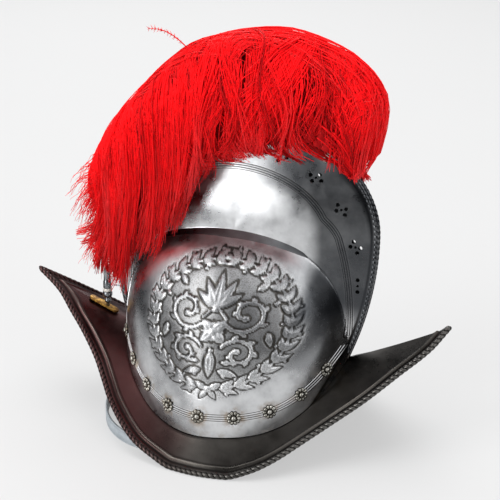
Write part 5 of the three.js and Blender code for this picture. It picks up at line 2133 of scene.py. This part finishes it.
@dataclass
class ChinStrap:
    """The grey chin strap, a loop that stands on its edge on the floor behind the helmet."""

    rivet_x: float = 7.0
    rivet_z: float = 28.8
    hole_y: float = 84.0
    head_y: float = 81.1
    wide: float = 11.0
    thick: float = 2.0

    def table(self) -> Array:
        """Rows of (x, y, z) of the lower edge, from the left rivet to the back, in millimetres.

        Returns:
            The rows.
        """
        return np.array([
            (14.0, 82.6, 25.5), (6.0, 83.2, 22.5), (-3.0, 82.9, 15.5), (-11.0, 82.4, 8.6),
            (-20.0, 83.8, 3.2), (-32.0, 88.0, 0.9), (-49.0, 91.0, 0.3), (-68.0, 85.0, 0.3),
            (-87.0, 70.0, 0.3), (-101.0, 49.0, 0.3), (-110.0, 24.0, 0.3), (-113.0, 0.0, 0.3)])

    def line(self) -> Array:
        """The lower edge, on a smooth curve through the table's rows.

        Returns:
            Points of the edge, from rivet to rivet.
        """
        half = self.table() * (1.0, -1.0, 1.0)
        knots = np.vstack([half, self.table()[-2::-1]])
        ends = np.vstack([2 * knots[0] - knots[1], knots, 2 * knots[-1] - knots[-2]])
        gap = np.sqrt(np.linalg.norm(np.diff(ends, axis=0), axis=1))
        made = []
        for i in range(1, len(ends) - 2):
            t0, t1, t2, t3 = 0.0, gap[i - 1], gap[i - 1] + gap[i], gap[i - 1] + gap[i] + gap[i + 1]
            t = np.linspace(t1, t2, 14, endpoint=i == len(ends) - 3)[:, None]
            p0, p1, p2, p3 = ends[i - 1:i + 3]
            a1 = between(t, t0, t1, p0, p1)
            a2 = between(t, t1, t2, p1, p2)
            a3 = between(t, t2, t3, p2, p3)
            made.append(between(t, t1, t2, between(t, t0, t2, a1, a2), between(t, t1, t3, a2, a3)))
        line = resampled(np.vstack(made), 1.6)
        line[:, 2] = np.maximum(line[:, 2], 0.3)
        return line

    def build(self, leather: Material, steel: Material) -> list[Piece]:
        """The strap and its two rivets.

        Args:
            leather: finish of the strap.
            steel: finish of the rivets.

        Returns:
            The strap and both rivets.
        """
        line = self.line()
        tangent = heading(line)
        side = unit(np.stack([tangent[:, 1], -tangent[:, 0], np.zeros(len(line))], -1))
        high = unit(np.cross(tangent, side))
        high *= np.sign(high[:, 2:])
        w, t, b = self.wide, self.thick, 0.45
        section = np.array([(b, 0.0), (t - b, 0.0), (t, b), (t, 1.4), (t - 0.18, 1.7), (t, 2.0), (t, w / 2),
                            (t, w - 2.0), (t - 0.18, w - 1.7), (t, w - 1.4), (t, w - b), (t - b, w),
                            (b, w), (0.0, w - b), (0.0, w - 1.4), (0.18, w - 1.7), (0.0, w - 2.0),
                            (0.0, w / 2), (0.0, 2.0), (0.18, 1.7), (0.0, 1.4), (0.0, b)])
        obj = sweep(line, side, high, section).to_object("chin_strap_band")
        rows = len(line)
        # The marked inner face is painted darker in the finish: painted shade.
        inside = np.concatenate([np.tile(section[:, 0] > t * 0.6, rows), [True, True]]).astype(float)
        edge = np.minimum(section[:, 1], w - section[:, 1])
        near = np.concatenate([np.tile(bell(edge - 1.7, 0.35) + (edge < 0.3), rows), [0.0, 0.0]])
        set_numbers(obj, inside=inside, edge=np.clip(near, 0.0, 1.0))
        made = []
        for mark in Side:
            place = np.array([self.rivet_x, mark.value * self.hole_y, self.rivet_z])
            pin = rod(1.4, -6.0, 6.0, 16).moved(facing((0.0, mark.value, 0.0)), place)
            carve(obj, [("DIFFERENCE", pin)])
        made.append(dress(obj, leather, ["chin_strap"], 40.0))
        rivet = lathe([(0.0, -2.9), (1.1, -2.9), (1.1, FORM.gap), (3.3, FORM.gap), (3.25, 0.7), (2.7, 1.3),
                       (1.4, 1.8), (0.0, 1.95)], 28, 0.12)
        for mark in Side:
            place = np.array([self.rivet_x, mark.value * self.head_y, self.rivet_z])
            body = rivet.moved(facing((0.0, -mark.value, 0.0)), place)
            head = body.to_object(f"strap_rivet_head_{mark.name.lower()}")
            set_numbers(head, chased=0.0, stain=0.0, shade=0.0)
            made.append(dress(head, steel, [f"strap_rivet_{mark.name.lower()}"], 40.0))
        return made


@dataclass
class Studio:
    """Camera, floor, sky and lights."""

    azimuth: float = 21.0
    elevation: float = 20.92
    distance: float = 1.3
    target: tuple[float, float, float] = (0.0, 0.0, 0.15)
    focal_share: float = 1.1971
    far: float = 50.0
    image: float = 500.0
    middle: tuple[float, float] = (235.4, 251.5)
    sensor: float = 36.0
    floor_glow: float = 0.51
    floor_tone: Colour = (0.22, 0.22, 0.219)
    floor_far: float = 7.0
    floor_near: float = 0.62
    floor_step: float = 0.00004
    floor_sides: int = 96

    def camera(self) -> None:
        """The camera at the photograph's angle."""
        data = bpy.data.cameras.new("camera")
        data.sensor_width = self.sensor
        data.lens = self.focal_share * self.distance * 1000.0 / self.image * self.sensor
        data.shift_x = (self.image / 2.0 - self.middle[0]) / self.image
        data.shift_y = (self.middle[1] - self.image / 2.0) / self.image
        data.clip_end = self.far
        bpy.context.scene.view_settings.view_transform = "Standard"
        cam = bpy.data.objects.new("camera", data)
        a, e = math.radians(self.azimuth), math.radians(self.elevation)
        away = Vector((math.sin(a) * math.cos(e), -math.cos(a) * math.cos(e), math.sin(e)))
        cam.location = Vector(self.target) + away * self.distance
        cam.rotation_euler = away.to_track_quat("Z", "Y").to_euler()
        bpy.context.scene.collection.objects.link(cam)
        bpy.context.scene.camera = cam

    def paper(self) -> Material:
        """Make the floor's matt finish, with a faint unevenness and a glow of its own.

        Returns:
            The material.
        """
        n = material_nodes("pale floor")
        other = tuple(v * 0.985 for v in self.floor_tone)
        base = n.mix(n.noise(6.0, 2.0), self.floor_tone, other)
        return n.finish(Base_Color=base, Roughness=0.9, Specular_IOR_Level=0.1,
                        Emission_Color=(1.0, 1.0, 1.0), Emission_Strength=self.floor_glow)

    def floor(self) -> None:
        """A wide pale floor, and the near part of it that the steel mirrors."""
        paper = self.paper()
        sides = self.floor_sides
        sheets = (("floor", self.floor_far, 0.0), ("floor_near", self.floor_near, self.floor_step))
        for name, radius, z in sheets:
            points = np.zeros((sides + 1, 3))
            points[:sides, :2] = radius / MM * circle(sides)
            points[:, 2] = z / MM
            k = np.arange(sides)
            tris = np.stack([np.full(sides, sides), k, (k + 1) % sides], -1)
            obj = Surface(points, tris=tris).to_object(name)
            obj.data.materials.append(paper)
            if name == "floor":
                obj.visible_glossy = False

    def sky(self) -> None:
        """A pale background, with a darker horizon and a bright top for the steel to mirror."""
        world = bpy.data.worlds.new("studio")
        bpy.context.scene.world = world
        n = Nodes(world, "Background")
        up = n.node("SeparateXYZ", {"Vector": n.coordinates["Generated"]}).outputs["Z"]
        height = n.node("Math", {0: up, 1: 0.5, 2: 0.5}, operation="MULTIPLY_ADD").outputs[0]
        ramp = n.node("ValToRGB", {"Fac": height})
        low, top = ramp.color_ramp.elements
        low.position, low.color = 0.42, (0.03, 0.032, 0.036, 1.0)
        top.position, top.color = 0.95, (0.95, 0.96, 0.98, 1.0)
        ramp.color_ramp.elements.new(0.58).color = (0.10, 0.102, 0.108, 1.0)
        seen = n.node("LightPath", {}).outputs["Is Camera Ray"]
        n.finish(Color=n.mix(seen, ramp.outputs["Color"], (0.87, 0.87, 0.87)), Strength=1.0)

    def lamp(self, name: str, place: tuple[float, float, float], size: tuple[float, float], power: float,
             mirrored: bool = True, aim: tuple[float, float, float] = (0.0, 0.0, 0.15)) -> None:
        """A soft rectangular light, which the steel mirrors or not.

        Args:
            name: its name.
            place: where it stands, in metres.
            size: its width and height.
            power: its power in watts.
            mirrored: True where the steel mirrors it.
            aim: the point that it shines at.
        """
        data = bpy.data.lights.new(name, "AREA")
        data.shape = "RECTANGLE"
        data.size, data.size_y = size
        data.energy = power
        obj = bpy.data.objects.new(name, data)
        obj.location = place
        obj.rotation_euler = (Vector(place) - Vector(aim)).to_track_quat("Z", "Y").to_euler()
        obj.visible_glossy = mirrored
        bpy.context.scene.collection.objects.link(obj)

    def build(self) -> None:
        """Build all of the studio."""
        self.camera()
        self.floor()
        self.sky()
        self.lamp("key", (-1.1, -1.5, 1.5), (1.2, 1.2), 24.0)
        self.lamp("low front", (-1.0, -1.95, 0.25), (0.9, 0.8), 14.0)
        self.lamp("top", (0.1, 0.2, 2.1), (1.8, 1.8), 34.0, False)
        self.lamp("fill", (1.7, -0.9, 0.9), (0.8, 1.2), 9.0)
        self.lamp("back", (-0.9, 1.7, 1.2), (1.2, 1.0), 14.0)


def main() -> None:
    """Build the sub-assemblies in order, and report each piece."""
    logging.basicConfig(level=logging.INFO, format="%(name)s %(message)s")
    Studio().build()
    skull = PolishedSteel("skull steel", chased=True, lines=True).build()
    bright = PolishedSteel("chased steel", light=(0.50, 0.49, 0.45), dark=(0.24, 0.235, 0.21), cloud=90.0,
                           chased=True).build()
    turned = PolishedSteel("turned steel", light=(0.50, 0.51, 0.52), dark=(0.20, 0.21, 0.22),
                           cloud=110.0).build()
    barbs = DyedBarbs("dyed barbs").build()
    # The heart's darker red is painted shade for the depth of the plume.
    heart = DyedBarbs("shaded plume heart", full=(0.42, 0.002, 0.004), pale=(0.5, 0.01, 0.01), sheen=0.2).build()
    pieces = SkullShells().build(skull)
    pieces += Brim().build(DarkSteel().build())
    pieces += RosetteBand().build(bright)
    pieces += Plume().build(barbs, heart)
    pieces += PlumeSocket().build(turned, WhiteRing().build(), AgedBrass().build())
    pieces += PlumeClip().build(bright)
    pieces += ChinStrap().build(StrapLeather().build(), bright)
    for piece in pieces:
        LOG.info("%s: %d triangles", piece.name, sum(len(p.vertices) - 2 for p in piece.data.polygons))


if __name__ == "__main__":
    main()
